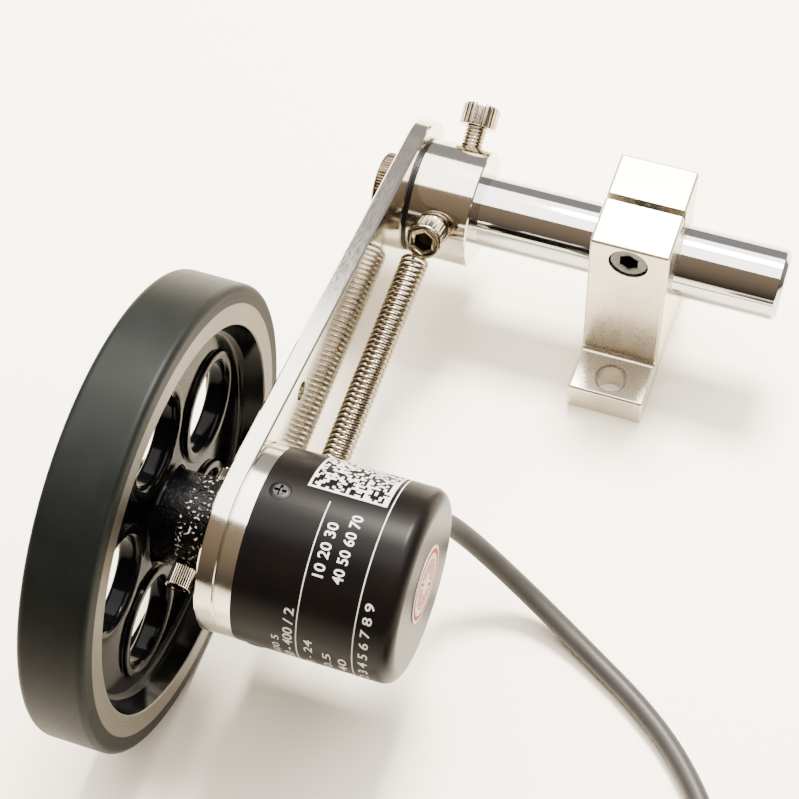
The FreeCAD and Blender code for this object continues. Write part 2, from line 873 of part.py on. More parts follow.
def circuit_board():
    board = rod(board_x + face_gap, board_x + board_thickness, board_dia, hub_centre)
    for place, out in board_post_places():
        board = board.cut(rod(board_x - overrun, board_x + board_thickness + overrun,
                              m2_shank_dia + 2 * cover_gap, place))
    return board


def board_screws():
    screws = []
    for place, out in board_post_places():
        start = board_x + board_thickness
        screw = rod(start - m2_length, start, m2_shank_dia, place)
        screws.append(screw.fuse(rod(start, start + m2_head_height, m2_head_dia, place)).removeSplitter())
    return group(screws)


def optical_sensor():
    """Slotted block on the board whose jaws stand each side of the code disc."""
    front = disc_start_x() - sensor_slot_clear - sensor_jaw
    length = board_x - sensor_seat_gap - front
    size = sensor_outer_radius - sensor_inner_radius
    corner = Vec(front, hub_centre.y - sensor_width / 2, hub_centre.z - sensor_outer_radius)
    block = Part.makeBox(length, sensor_width, size, corner)
    gap = code_disc_thickness + 2 * sensor_slot_clear
    reach = code_disc_dia / 2 + sensor_slot_clear
    slot = Part.makeBox(gap, sensor_width + 2 * overrun, reach,
                        Vec(disc_start_x() - sensor_slot_clear, corner.y - overrun, hub_centre.z - reach))
    return block.cut(slot)


def rear_label():
    centre = hub_centre + Vec(0, label_aside, label_rise)
    return rod(cover_end_x, cover_end_x + label_thickness, label_dia, centre)


def cable_grommet():
    """Rubber grommet: flange outside the cover, neck through its wall."""
    profile = [
        (-2 * cover_wall, 0),
        (-2 * cover_wall, gland_neck_dia / 2),
        (fit_gap, gland_neck_dia / 2),
        (fit_gap, gland_dia / 2),
        (gland_flange, gland_dia / 2),
        (gland_length, gland_tip_dia / 2),
        (gland_length, 0),
    ]
    return turned(profile, gland_root, gland_dir)


def route_path():
    """Straight runs joined by tangent arcs that start a share of the shorter run from each corner."""
    points = [gland_exit] + [Vec(*point) for point in cable_route]
    edges = []
    start = points[0]
    radii = []
    for before, corner, after in zip(points, points[1:], points[2:]):
        arrive = corner - before
        leave = after - corner
        leg = corner_share * min(arrive.Length, leave.Length)
        into = corner - Vec(arrive).normalize() * leg
        away = corner + Vec(leave).normalize() * leg
        edges.append(Part.makeLine(start, into))
        edges.append(arc_edge(into, corner, away))
        radii.append(leg / math.tan(arrive.getAngle(leave) / 2))
        start = away
    edges.append(Part.makeLine(start, points[-1]))
    print("cable arc radii", " ".join("%.1f" % radius for radius in radii))
    return Part.Wire(edges)


def encoder_cable():
    path = route_path()
    solid = sweep(path, cable_dia)
    print("cable free length %.1f, volume over section x length %.4f"
          % (path.Length, solid.Volume / (math.pi * cable_dia * cable_dia / 4 * path.Length)))
    return solid, path.Length


class Coil:
    """Round coil that the cable is put away in: layers that spiral in and out again."""

    def __init__(self):
        end = Vec(*cable_route[-1])
        heading = Vec(end - Vec(*cable_route[-2]))
        heading.z = 0
        self.heading = heading.normalize()
        self.start = end
        self.pitch = cable_dia + coil_gap
        self.outer = coil_mid_dia / 2 + self.pitch * coil_layer_turns / 2
        self.inwards = Vec(self.heading.y, -self.heading.x, 0)
        self.centre = end + self.heading * cable_dia + self.inwards * self.outer
        self.bearing = math.atan2(-self.inwards.y, -self.inwards.x)

    def place(self, turns):
        """Point of the winding after so many turns: radius and layer are steady ramps."""
        layer = int(turns // coil_layer_turns)
        along = turns - layer * coil_layer_turns
        inset = along if layer % 2 == 0 else coil_layer_turns - along
        radius = self.outer - self.pitch * inset
        level = layer
        ahead = coil_climb_turns / 2
        if along > coil_layer_turns - ahead and layer + 1 < coil_layers:
            level += (along - coil_layer_turns + ahead) / coil_climb_turns
        elif along < ahead and layer > 0:
            level += (along + ahead) / coil_climb_turns - 1
        angle = self.bearing - 2 * math.pi * turns
        return self.centre + Vec(radius * math.cos(angle), radius * math.sin(angle), self.pitch * level)

    def heading_at(self, turns):
        reach = coil_station_turns / 4
        return (self.place(turns + reach) - self.place(max(turns - reach, 0))).normalize()

    def turns_for(self, length):
        """Turns that take up a length of cable."""
        turns = 0
        step = coil_station_turns / 25
        used = 0
        while used < length:
            used += (self.place(turns + step) - self.place(turns)).Length
            turns += step
        return turns

    def stations(self, turns):
        count = int(turns / coil_station_turns) + 1
        marks = [coil_station_turns * station for station in range(count)]
        if turns - marks[-1] < coil_station_turns / 2:
            marks.pop()
        marks.append(turns)
        places = [(self.place(mark), self.heading_at(mark)) for mark in marks]
        places[0] = (places[0][0], self.heading)
        return places


def cable_coil(coil, length):
    turns = coil.turns_for(length - 2 * cable_dia)
    path = smooth_path(coil.stations(turns), cable_dia, cable_dia)
    solid = sweep(path, cable_dia)
    print("coil turns %.2f, length %.1f, least gap %.3f, tightest radius %.2f, volume ratio %.4f"
          % (turns, path.Length, least_gap(path, cable_dia), tightest(path),
             solid.Volume / (math.pi * cable_dia * cable_dia / 4 * path.Length)))
    end, heading = coil.stations(turns)[-1]
    return solid, end + heading * cable_dia, heading


def cable_end_sleeve(end, heading):
    """Shrink sleeve over the cut end of the jacket."""
    return Part.makeCylinder(cable_dia / 2 + sleeve_wall, sleeve_length, end, heading)


def core_paths(end, heading, coil):
    """Insulated cores that leave the sleeve and fan out on the coil's turns."""
    start = end + heading * sleeve_length
    level = heading.cross(AXIS_Z).normalize()
    rest = coil.start.z + coil.pitch * (coil_layers - 2) + cable_dia / 2 + core_rest_gap + core_dia / 2
    paths = []
    for index in range(core_count):
        share = index - (core_count - 1) / 2
        ring = level * (core_ring_dia / 2 * math.sin(math.pi * share / core_count)) \
            + AXIS_Z * (core_ring_dia / 2 * math.cos(math.pi * share / core_count) - core_ring_drop)
        first = start + ring
        flat = Vec(heading.x, heading.y, 0).normalize()
        out = Vec(first - coil.centre)
        out.z = 0
        bend = core_run / out.Length
        sag = Vec(flat * math.cos(bend) + (level * math.sin(bend)))
        last = first + flat * (core_run * math.cos(bend / 2)) + level * (core_run * math.sin(bend / 2))
        last = last + level * (share * core_spread)
        last.z = rest
        paths.append((first, heading, last, Vec(sag).normalize()))
    return paths


def core_ends(end, heading, coil):
    """Cores and their tinned tips."""
    cores = []
    tips = []
    for first, leave, last, arrive in core_paths(end, heading, coil):
        path = Part.Wire(biarc(first, leave, last, arrive))
        cores.append(sweep(path, core_dia))
        tips.append(Part.makeCylinder(tip_dia / 2, tip_length, last, arrive))
    return group(cores), group(tips)


def taut_corners(points):
    """Corners of the smallest convex outline round points (across, up), in turning order."""
    corners = []
    for run in (sorted(points), sorted(points, reverse=True)):
        side = []
        for x, y in run:
            while len(side) > 1:
                (first_x, first_y), (last_x, last_y) = side[-2:]
                turn = (last_x - first_x) * (y - first_y) - (last_y - first_y) * (x - first_x)
                if turn > tie_corner_slack:
                    break
                side.pop()
            side.append((x, y))
        corners += side[:-1]
    return corners


def taut_normals(corners):
    """Outward direction of the straight run that follows each corner."""
    normals = []
    for (x, y), (next_x, next_y) in zip(corners, corners[1:] + corners[:1]):
        span = math.hypot(next_x - x, next_y - y)
        normals.append(((next_y - y) / span, (x - next_x) / span))
    return normals


def taut_outline(corners, reach, place):
    """Closed wire at a reach round the corners: an arc at each corner, then a straight run."""
    normals = taut_normals(corners)
    edges = []
    for index, (x, y) in enumerate(corners):
        before = normals[index - 1]
        after = normals[index]
        size = math.hypot(before[0] + after[0], before[1] + after[1])
        middle = ((before[0] + after[0]) / size, (before[1] + after[1]) / size)
        arc = [place(x + way[0] * reach, y + way[1] * reach) for way in (before, middle, after)]
        next_x, next_y = (corners[1:] + corners[:1])[index]
        edges.append(Part.Arc(*arc).toShape())
        edges.append(Part.makeLine(arc[-1], place(next_x + after[0] * reach, next_y + after[1] * reach)))
    return Part.Wire(edges)


def cable_tie(coil, length):
    """Flat tie drawn taut round the coil's bundle, with its small locking head on the upper run."""
    angle = coil.bearing - 2 * math.pi * tie_turn
    out = Vec(math.cos(angle), math.sin(angle), 0)
    along = AXIS_Z.cross(out)
    base = Vec(coil.centre.x, coil.centre.y, 0)
    last = coil.turns_for(length - 2 * cable_dia)
    spots = [coil.place(tie_turn + turn) for turn in range(int(last - tie_turn) + 1)]
    corners = taut_corners([((spot - base).dot(out), spot.z) for spot in spots])

    def slab(reach, width):
        side = base - along * (width / 2)
        wire = taut_outline(corners, reach, lambda x, z: side + out * x + AXIS_Z * z)
        return Part.Face(wire).extrude(along * width)

    inner_reach = cable_dia / 2 + tie_clear
    strap = slab(inner_reach + tie_thickness, tie_width).cut(slab(inner_reach, tie_width + 2 * overrun))
    normals = taut_normals(corners)
    upper = max(range(len(corners)), key=lambda index: normals[index][1])
    (x, z), (next_x, next_z) = corners[upper], (corners[1:] + corners[:1])[upper]
    rise = out * normals[upper][0] + AXIS_Z * normals[upper][1]
    run = along.cross(rise) * tie_head_length
    across = along * (tie_width + 2 * tie_thickness)
    foot = base + out * ((x + next_x) / 2) + AXIS_Z * ((z + next_z) / 2)
    corner = foot + rise * (inner_reach + tie_thickness / 2) - run / 2 - across / 2
    head = Part.Face(Part.makePolygon([corner, corner + run, corner + run + across, corner + across, corner]))
    return strap.fuse(head.extrude(rise * tie_head_height)).removeSplitter()


def wheel_casting():
    """Painted spoke wheel: rim, web with lipped holes, long hub towards the arm."""
    hub = hub_dia / 2
    bore = encoder_shaft_dia / 2 + fit_gap
    hub_back = wheel_back_x + hub_back_inset
    inner = rim_inner_radius - rim_draft
    stations = [
        (hub_end_x, bore), (hub_end_x, hub - hub_edge), (hub_end_x - hub_edge, hub),
        (web_near_x, hub), (web_near_x, inner), (wheel_face_x, rim_inner_radius),
        (wheel_face_x, rim_radius), (wheel_back_x, rim_radius), (wheel_back_x, rim_inner_radius),
        (web_far_x, inner), (web_far_x, hub), (hub_back, hub), (hub_back, bore),
    ]
    profile = [(x - wheel_back_x, radius) for x, radius in stations]
    solid = turned(profile, at_x(wheel_back_x, hub_centre), AXIS_X)
    places = ring_places(web_hole_count, web_hole_start, web_hole_pitch_radius, hub_centre, web_far_x)
    for place, out in places:
        outer = web_hole_dia / 2 + lip_width
        lip = rod(web_far_x - lip_height, web_near_x + lip_height, 2 * outer, place)
        lip = lip.makeFillet(lip_edge_radius, [edge for edge in lip.Edges if edge.Closed
                                               and edge.Curve.TypeId == "Part::GeomCircle"])
        solid = solid.fuse(lip)
    for place, out in places:
        solid = solid.cut(rod(wheel_back_x - overrun, hub_end_x, web_hole_dia, place))
    mouths = [edge for edge in solid.Edges if edge.Closed and edge.Curve.TypeId == "Part::GeomCircle"
              and abs(edge.Curve.Radius - web_hole_dia / 2) < fit_gap
              and (edge.CenterOfMass - at_x(edge.CenterOfMass.x, hub_centre)).Length > hub_dia / 2]
    solid = solid.makeFillet(lip_mouth_radius, mouths)
    for place, out in hub_screw_places():
        centre = at_x(hub_screw_x, hub_centre)
        solid = solid.cut(Part.makeCylinder(m3_shank_dia / 2 + fit_gap, hub_dia, centre, out))
    return solid.removeSplitter()


def hub_screw_places():
    places = []
    for step in range(2):
        turn = math.radians(hub_screw_start + hub_screw_step * step)
        out = Vec(0, -math.cos(turn), math.sin(turn))
        places.append((at_x(hub_screw_x, hub_centre) + out * (hub_dia / 2 + hub_screw_stand), out))
    return places


def hub_screws():
    """M3 screws with tall socket heads that clamp the hub to the encoder's shaft."""
    sizes = (hub_screw_head_dia, hub_screw_head_height, m3_shank_dia, hub_screw_socket,
             hub_screw_socket_depth)
    length = hub_dia / 2 + hub_screw_stand - encoder_shaft_dia / 2 - tip_gap
    return group([socket_screw(place, out, sizes, length, screw_edge / 2)
                  for place, out in hub_screw_places()])


def wheel_tyre():
    """Rubber tread with rounded shoulders on the rim."""
    tyre = tube_x(wheel_back_x, wheel_face_x, 2 * wheel_radius, 2 * rim_radius, hub_centre)
    shoulders = [edge for edge in tyre.Edges if edge.Curve.TypeId == "Part::GeomCircle"
                 and edge.Curve.Radius > wheel_radius - fit_gap]
    return tyre.makeFillet(tyre_shoulder, shoulders)


def main():
    os.makedirs("parts", exist_ok=True)
    save("shaft_support_block", support_block())
    save("block_clamp_screw", m5_screw(clamp_seat(), -AXIS_Y, clamp_screw_length))
    save("pivot_shaft", pivot_shaft())
    save("pivot_collar", pivot_collar())
    save("collar_lock_screw",
         collar_screw(lock_screw_x, radial(lock_screw_angle, True), lock_screw_reach))
    save("spring_anchor_screw",
         collar_screw(anchor_screw_x, radial(anchor_screw_angle, False), anchor_screw_reach))
    save("thrust_washer", thrust_washer())
    save("pivot_bolt", pivot_bolt())
    save("pivot_bush", pivot_bush())
    save("swing_arm", swing_arm())
    save("spring_post", spring_post())
    save("extension_spring", extension_spring())
    save("encoder_mount_screws", encoder_mount_screws())
    save("encoder_flange", encoder_flange())
    save("encoder_cover", encoder_cover())
    save("cover_screws", cover_screws())
    save("bearing_outer_rings", bearing_rings(bearing_dia, bearing_dia - 2 * ring_wall))
    save("bearing_inner_rings", bearing_rings(encoder_shaft_dia + 2 * ring_wall, encoder_shaft_dia))
    save("bearing_balls", bearing_balls())
    save("encoder_shaft", encoder_shaft())
    save("retaining_ring", retaining_ring())
    save("disc_hub", disc_hub())
    save("code_disc", code_disc())
    save("circuit_board", circuit_board())
    save("board_screws", board_screws())
    save("optical_sensor", optical_sensor())
    save("rear_label", rear_label())
    save("cable_grommet", cable_grommet())
    cable, free_length = encoder_cable()
    save("encoder_cable", cable)
    coil = Coil()
    wound = cable_length - free_length - sleeve_length - core_run
    winding, end, heading = cable_coil(coil, wound)
    save("cable_coil", winding)
    save("cable_end_sleeve", cable_end_sleeve(end, heading))
    cores, tips = core_ends(end, heading, coil)
    save("core_ends", cores)
    save("tinned_tips", tips)
    save("cable_tie", cable_tie(coil, wound))
    save("wheel_casting", wheel_casting())
    save("wheel_tyre", wheel_tyre())
    save("hub_screws", hub_screws())


main()
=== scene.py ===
"""Looks of the cable length counter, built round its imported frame.

Lengths in the classes are millimetres unless a name ends in _m; Blender's own units are metres.
The wheel and the encoder share one axis along X, the collar and the shaft another.  Angles round
an X axis are taken from -Y towards +Z.
"""

import logging
import math
from dataclasses import dataclass, field
from enum import Enum
from typing import Sequence

import bmesh
import bpy
import numpy as np
from mathutils import Matrix, Vector


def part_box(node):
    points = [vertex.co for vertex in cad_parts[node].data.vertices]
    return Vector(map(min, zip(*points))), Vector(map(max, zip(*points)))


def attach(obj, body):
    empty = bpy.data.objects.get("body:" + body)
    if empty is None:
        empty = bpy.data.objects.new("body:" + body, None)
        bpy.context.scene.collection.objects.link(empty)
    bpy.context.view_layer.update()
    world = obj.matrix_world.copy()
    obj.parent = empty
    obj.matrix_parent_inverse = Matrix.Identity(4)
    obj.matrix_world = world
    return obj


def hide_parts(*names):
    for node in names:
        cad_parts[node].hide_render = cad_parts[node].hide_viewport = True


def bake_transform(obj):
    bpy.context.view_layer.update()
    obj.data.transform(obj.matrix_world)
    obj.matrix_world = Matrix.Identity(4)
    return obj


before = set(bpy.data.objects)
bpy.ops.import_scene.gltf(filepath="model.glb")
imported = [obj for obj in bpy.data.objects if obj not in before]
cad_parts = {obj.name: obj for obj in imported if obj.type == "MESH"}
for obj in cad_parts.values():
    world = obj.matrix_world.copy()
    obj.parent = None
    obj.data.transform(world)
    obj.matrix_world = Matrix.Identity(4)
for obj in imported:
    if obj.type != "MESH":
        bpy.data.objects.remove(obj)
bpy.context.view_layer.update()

LOG = logging.getLogger("counter")
MM = 0.001
MERGE_DISTANCE = 1e-6
SIDE_SHARE = 0.95
GLOSS_FROM = 0.3
GLOSS_TO = 0.7
LEAST_ROUGHNESS = 0.02


class Pattern(Enum):
    """How a surface was made, which sets the direction of its fine texture."""

    GRAIN = "grain"
    TURNED = "turned"
    BRUSHED = "brushed"


def linear(colour: str) -> tuple[float, float, float, float]:
    """Turns an sRGB hex colour to a linear one.

    Args:
        colour: six hex digits, with or without a leading mark.

    Returns:
        Red, green, blue and an alpha of one.
    """
    digits = colour.lstrip("#")
    shares = [int(digits[place:place + 2], 16) / 255 for place in (0, 2, 4)]
    parts = [share / 12.92 if share <= 0.04045 else ((share + 0.055) / 1.055) ** 2.4 for share in shares]
    return (parts[0], parts[1], parts[2], 1.0)


def add_node(tree: bpy.types.NodeTree, kind: str, values: dict | None = None,
             links: dict | None = None, **settings) -> bpy.types.Node:
    """Adds a node with its settings, socket values and links.

    Args:
        tree: the material's or world's node tree.
        kind: the node's type name.
        values: input name or number to constant value.
        links: input name or number to the output socket that feeds it.
        settings: attributes of the node itself.

    Returns:
        The new node.
    """
    made = tree.nodes.new(kind)
    for name, value in settings.items():
        setattr(made, name, value)
    for name, value in (values or {}).items():
        made.inputs[name].default_value = value
    for name, source in (links or {}).items():
        tree.links.new(source, made.inputs[name])
    return made


@dataclass(frozen=True)
class Finish:
    """A surface finish: what the thing is made of and how its surface was worked.

    grain_mm is the spacing of the fine texture and grain_depth_mm its height.  tint is a second
    colour that drifts through the first over about tint_mm; it begins where the drift passes
    tint_from and has its full share at tint_to, so close ones make flecks.  centre is a point on
    the axis that a turned pattern runs round.
    """

    name: str
    colour: str
    metallic: float = 0.0
    roughness: float = 0.5
    roughness_spread: float = 0.0
    ior: float = 1.5
    pattern: Pattern = Pattern.GRAIN
    grain_mm: float = 0.3
    grain_depth_mm: float = 0.01
    tint: str = ""
    tint_mm: float = 12.0
    tint_share: float = 0.5
    tint_from: float = 0.35
    tint_to: float = 0.65
    centre: tuple[float, float, float] = (0.0, 0.0, 0.0)
    turn_deg: float = 0.0
    stretch: float = 30.0

    def grain(self, tree: bpy.types.NodeTree) -> bpy.types.NodeSocket:
        """Makes the fine texture's height field.

        Grain is plain noise.  A turned surface has lines of equal x plus radius, so they run round
        its barrel and its faces alike.  A brushed one has noise drawn out along one direction.

        Args:
            tree: the material's node tree.

        Returns:
            A socket with values from nought to one.
        """
        place = add_node(tree, "ShaderNodeTexCoord").outputs["Object"]
        scale = 1.0 / (self.grain_mm * MM)
        centred = add_node(tree, "ShaderNodeMapping", {
            "Location": [-value * MM for value in self.centre],
        }, {"Vector": place}).outputs["Vector"]
        if self.pattern is Pattern.TURNED:
            parts = add_node(tree, "ShaderNodeSeparateXYZ", links={"Vector": centred})
            flat = add_node(tree, "ShaderNodeCombineXYZ", links={"Y": parts.outputs["Y"], "Z": parts.outputs["Z"]})
            radius = add_node(tree, "ShaderNodeVectorMath", links={0: flat.outputs[0]}, operation="LENGTH")
            line = add_node(tree, "ShaderNodeMath", links={0: parts.outputs["X"], 1: radius.outputs["Value"]},
                            operation="ADD")
            return add_node(tree, "ShaderNodeTexNoise", {"Scale": scale, "Detail": 3.0}, {"W": line.outputs[0]},
                            noise_dimensions="1D").outputs["Fac"]
        if self.pattern is Pattern.BRUSHED:
            drawn = add_node(tree, "ShaderNodeMapping", {
                "Rotation": (math.radians(self.turn_deg), 0.0, 0.0),
                "Scale": (1.0, 1.0 / self.stretch, 1.0),
            }, {"Vector": centred}).outputs["Vector"]
            return add_node(tree, "ShaderNodeTexNoise", {"Scale": scale, "Detail": 4.0},
                            {"Vector": drawn}).outputs["Fac"]
        return add_node(tree, "ShaderNodeTexNoise", {"Scale": scale, "Detail": 4.0, "Roughness": 0.6},
                        {"Vector": centred}).outputs["Fac"]

    def build(self) -> bpy.types.Material:
        """Makes the material once, and returns it."""
        made = bpy.data.materials.get(self.name)
        if made is not None:
            return made
        made = bpy.data.materials.new(self.name)
        made.use_nodes = True
        tree = made.node_tree
        tree.nodes.clear()
        shader = add_node(tree, "ShaderNodeBsdfPrincipled", {
            "Base Color": linear(self.colour),
            "Metallic": self.metallic,
            "Roughness": self.roughness,
            "IOR": self.ior,
        })
        add_node(tree, "ShaderNodeOutputMaterial", links={"Surface": shader.outputs[0]})
        self.dress(tree, shader)
        return made

    def dress(self, tree: bpy.types.NodeTree, shader: bpy.types.Node) -> None:
        """Adds the texture, colour drift and uneven gloss to the shader.

        Args:
            tree: the material's node tree.
            shader: the principled shader.
        """
        height = self.grain(tree)
        bump = add_node(tree, "ShaderNodeBump", {"Strength": 1.0, "Distance": self.grain_depth_mm * MM},
                        {"Height": height})
        tree.links.new(bump.outputs["Normal"], shader.inputs["Normal"])
        if self.roughness_spread:
            uneven = add_node(tree, "ShaderNodeMapRange", {
                "From Min": GLOSS_FROM, "From Max": GLOSS_TO,
                "To Min": max(self.roughness - self.roughness_spread, LEAST_ROUGHNESS),
                "To Max": self.roughness + self.roughness_spread,
            }, {"Value": height})
            tree.links.new(uneven.outputs["Result"], shader.inputs["Roughness"])
        if self.tint:
            place = add_node(tree, "ShaderNodeTexCoord").outputs["Object"]
            drift = add_node(tree, "ShaderNodeTexNoise", {"Scale": 1.0 / (self.tint_mm * MM), "Detail": 3.0},
                             {"Vector": place})
            share = add_node(tree, "ShaderNodeMapRange", {
                "From Min": self.tint_from, "From Max": self.tint_to, "To Min": 0.0, "To Max": self.tint_share,
            }, {"Value": drift.outputs["Fac"]})
            mixed = add_node(tree, "ShaderNodeMix", {6: linear(self.colour), 7: linear(self.tint)},
                             {0: share.outputs["Result"]}, data_type="RGBA")
            tree.links.new(mixed.outputs[2], shader.inputs["Base Color"])


def placed(name: str, data: bpy.types.ID) -> bpy.types.Object:
    """Adds an object with that mesh, curve, lamp or camera to the scene."""
    made = bpy.data.objects.new(name, data)
    bpy.context.scene.collection.objects.link(made)
    return made


def shade(mesh: bpy.types.Mesh, sharp_deg: float) -> None:
    """Shades a mesh smooth, but for edges that turn by more than sharp_deg."""
    mesh.polygons.foreach_set("use_smooth", np.ones(len(mesh.polygons), bool))
    mesh.set_sharp_from_angle(angle=math.radians(sharp_deg))


def mesh_of(name: str, curve: bpy.types.Curve) -> bpy.types.Mesh:
    """Turns a curve or a line of text to a mesh, and removes the curve."""
    holder = placed(name + "_holder", curve)
    bpy.context.view_layer.update()
    mesh = bpy.data.meshes.new_from_object(holder)
    mesh.name = name
    bpy.data.objects.remove(holder)
    bpy.data.curves.remove(curve)
    return mesh


@dataclass
class Draft:
    """Grids of one piece, gathered before they go into its mesh."""

    name: str
    points: list[np.ndarray] = field(default_factory=list)
    faces: list[np.ndarray] = field(default_factory=list)
    slots: list[np.ndarray] = field(default_factory=list)
    finishes: list[Finish] = field(default_factory=list)
    count: int = 0

    def slot_of(self, finish: Finish) -> int:
        """Number of the finish's material slot, added when it is new."""
        if finish not in self.finishes:
            self.finishes.append(finish)
        return self.finishes.index(finish)

    def grid(self, points: np.ndarray, finish: Finish, wrap_rows: bool = False,
             wrap_columns: bool = True) -> None:
        """Adds the quads between neighbouring points of a grid.

        Args:
            points: rows by columns by three, in millimetres.
            finish: the finish of these faces.
            wrap_rows: whether the last row joins the first.
            wrap_columns: whether the last column joins the first.
        """
        rows, columns = points.shape[:2]
        number = np.arange(rows * columns).reshape(rows, columns) + self.count
        if wrap_rows:
            number = np.vstack([number, number[:1]])
        if wrap_columns:
            number = np.hstack([number, number[:, :1]])
        quads = np.stack([number[:-1, :-1], number[1:, :-1], number[1:, 1:], number[:-1, 1:]], axis=-1)
        self.points.append(points.reshape(-1, 3))
        self.faces.append(quads.reshape(-1, 4))
        self.slots.append(np.full(len(self.faces[-1]), self.slot_of(finish)))
        self.count += rows * columns

    def build(self, sharp_deg: float = 35.0) -> bpy.types.Object:
        """Puts the grids, which are closed shells, into one mesh at its place in the frame.

        Args:
            sharp_deg: edges that turn by more than this stay crisp.

        Returns:
            The object, at the origin.
        """
        mesh = bpy.data.meshes.new(self.name)
        mesh.from_pydata((np.vstack(self.points) * MM).tolist(), [], np.vstack(self.faces).tolist())
        mesh.polygons.foreach_set("material_index", np.concatenate(self.slots).astype(np.int32))
        for finish in self.finishes:
            mesh.materials.append(finish.build())
        clean(mesh, True)
        shade(mesh, sharp_deg)
        made = placed(self.name, mesh)
        weigh_normals(made)
        return made


def weigh_normals(made: bpy.types.Object) -> None:
    """Keeps flat and straight faces shaded flat next to their rounded edges."""
    weighted = made.modifiers.new("flat_faces", "WEIGHTED_NORMAL")
    weighted.keep_sharp = True


def clean(mesh: bpy.types.Mesh, closed: bool) -> None:
    """Merges doubled points, drops flat faces and turns closed shells outwards."""
    work = bmesh.new()
    work.from_mesh(mesh)
    bmesh.ops.remove_doubles(work, verts=work.verts, dist=MERGE_DISTANCE)
    bmesh.ops.dissolve_degenerate(work, edges=work.edges, dist=MERGE_DISTANCE)
    if closed:
        bmesh.ops.recalc_face_normals(work, faces=work.faces)
    work.to_mesh(mesh)
    work.free()
    mesh.update()


@dataclass(frozen=True)
class Seat:
    """A place and three square directions that a turned or stacked piece is built on, in millimetres."""

    origin: tuple[float, float, float]
    along: tuple[float, float, float]
    side: tuple[float, float, float]
    rise: tuple[float, float, float]

    def place(self, along: np.ndarray, radius: np.ndarray, angle: np.ndarray) -> np.ndarray:
        """Points at a distance along, a radius out and an angle round, from side towards rise."""
        flat = np.multiply.outer(radius * np.cos(angle), np.array(self.side))
        flat = flat + np.multiply.outer(radius * np.sin(angle), np.array(self.rise))
        return np.array(self.origin) + np.multiply.outer(along, np.array(self.along)) + flat


def seat_on_x(y: float, z: float) -> Seat:
    """Seat on an axis along X; its distances along are plain x values."""
    return Seat((0.0, y, z), (1.0, 0.0, 0.0), (0.0, -1.0, 0.0), (0.0, 0.0, 1.0))


def seat_at(origin: Sequence[float], along: Sequence[float]) -> Seat:
    """Seat at a point, pointing along any direction but X.

    Args:
        origin: where the distance along is nought.
        along: the direction, not along X.

    Returns:
        A seat whose side is X made square to the direction.
    """
    axis = np.array(along, float)
    axis /= np.linalg.norm(axis)
    side = np.array([1.0, 0.0, 0.0]) - axis[0] * axis
    side /= np.linalg.norm(side)
    rise = np.cross(axis, side)
    return Seat(tuple(origin), tuple(axis), tuple(side), tuple(rise))


def eased(corners: Sequence[tuple[float, float, float]], steps: int = 6, ring: bool = False) -> np.ndarray:
    """Profile through corners, each rounded off.

    Between the points that lie the corner's round before and after it, the curve is
    (1-t)^2 a + 2t(1-t) corner + t^2 b, which is close to an arc.

    Args:
        corners: (along, radius, round) for each corner, in order.
        steps: spans per rounded corner.
        ring: whether the profile closes on itself, so that its ends are rounded too.

    Returns:
        Points as rows of (along, radius).
    """
    places = np.array([corner[:2] for corner in corners], float)
    made = []
    last = len(corners) - 1
    for index, (along, radius, size) in enumerate(corners):
        here = places[index]
        if size == 0 or (not ring and index in (0, last)):
            made.append(here[None, :])
            continue
        before = places[index - 1] - here
        after = places[(index + 1) % len(corners)] - here
        start = here + before / np.linalg.norm(before) * min(size, np.linalg.norm(before) * SIDE_SHARE)
        end = here + after / np.linalg.norm(after) * min(size, np.linalg.norm(after) * SIDE_SHARE)
        share = np.linspace(0, 1, steps + 1)[:, None]
        made.append((1 - share) ** 2 * start + 2 * share * (1 - share) * here + share ** 2 * end)
    return np.vstack(made)


def round_angles(segments: int) -> np.ndarray:
    """Even angles once round, in radians."""
    return np.linspace(0, 2 * np.pi, segments, endpoint=False)


def spread(profile: np.ndarray, segments: int) -> tuple[np.ndarray, np.ndarray]:
    """Distances along and radii of a profile, each row repeated once round."""
    return np.repeat(profile[:, :1], segments, axis=1), np.repeat(profile[:, 1:], segments, axis=1)


def turned(seat: Seat, along: np.ndarray, radii: np.ndarray) -> np.ndarray:
    """Points of rows that run once round a seat's axis at even angles."""
    return seat.place(along, radii, np.broadcast_to(round_angles(along.shape[1]), along.shape))


def with_recess(along: np.ndarray, radii: np.ndarray, key: np.ndarray, levels: Sequence[float],
                shares: Sequence[float]) -> tuple[np.ndarray, np.ndarray]:
    """Adds the rows of a recess to those of a head.

    Args:
        along: the head's distances along, rows by angles.
        radii: the head's radii.
        key: the recess's radius at each angle.
        levels: distances along of the recess's rows.
        shares: the share of the key's radius that each of these rows has.

    Returns:
        Distances along and radii of both.
    """
    inner = np.array(levels)[:, None] + np.zeros(len(key))
    return np.vstack([along, inner]), np.vstack([radii, np.multiply.outer(np.array(shares), key)])


def fluted(radii: np.ndarray, barrel_radius: float, flutes: int, depth_share: float, angle: np.ndarray) -> np.ndarray:
    """Radii whose barrel rows are cut by depth_share times the size of a sine of half the flutes."""
    barrel = (radii[:, :1] > barrel_radius).astype(float)
    return radii * (1 - barrel * depth_share * np.abs(np.sin(flutes * angle / 2)))


def lathe(draft: Draft, profile: np.ndarray, seat: Seat, finish: Finish, segments: int = 128,
          ring: bool = False) -> None:
    """Turns a profile round a seat's axis: a point is at (along, radius, angle).

    Args:
        draft: the piece it is added to.
        profile: rows of (along, radius).
        seat: the axis.
        finish: the finish of the faces.
        segments: faces round.
        ring: whether the profile closes on itself.
    """
    draft.grid(turned(seat, *spread(profile, segments)), finish, wrap_rows=ring)


def hexagon(flats: float, angle: np.ndarray) -> np.ndarray:
    """Radius of a hexagon of that width across flats at each angle."""
    sector = np.pi / 3
    return flats / 2 / np.cos((angle + sector / 2) % sector - sector / 2)


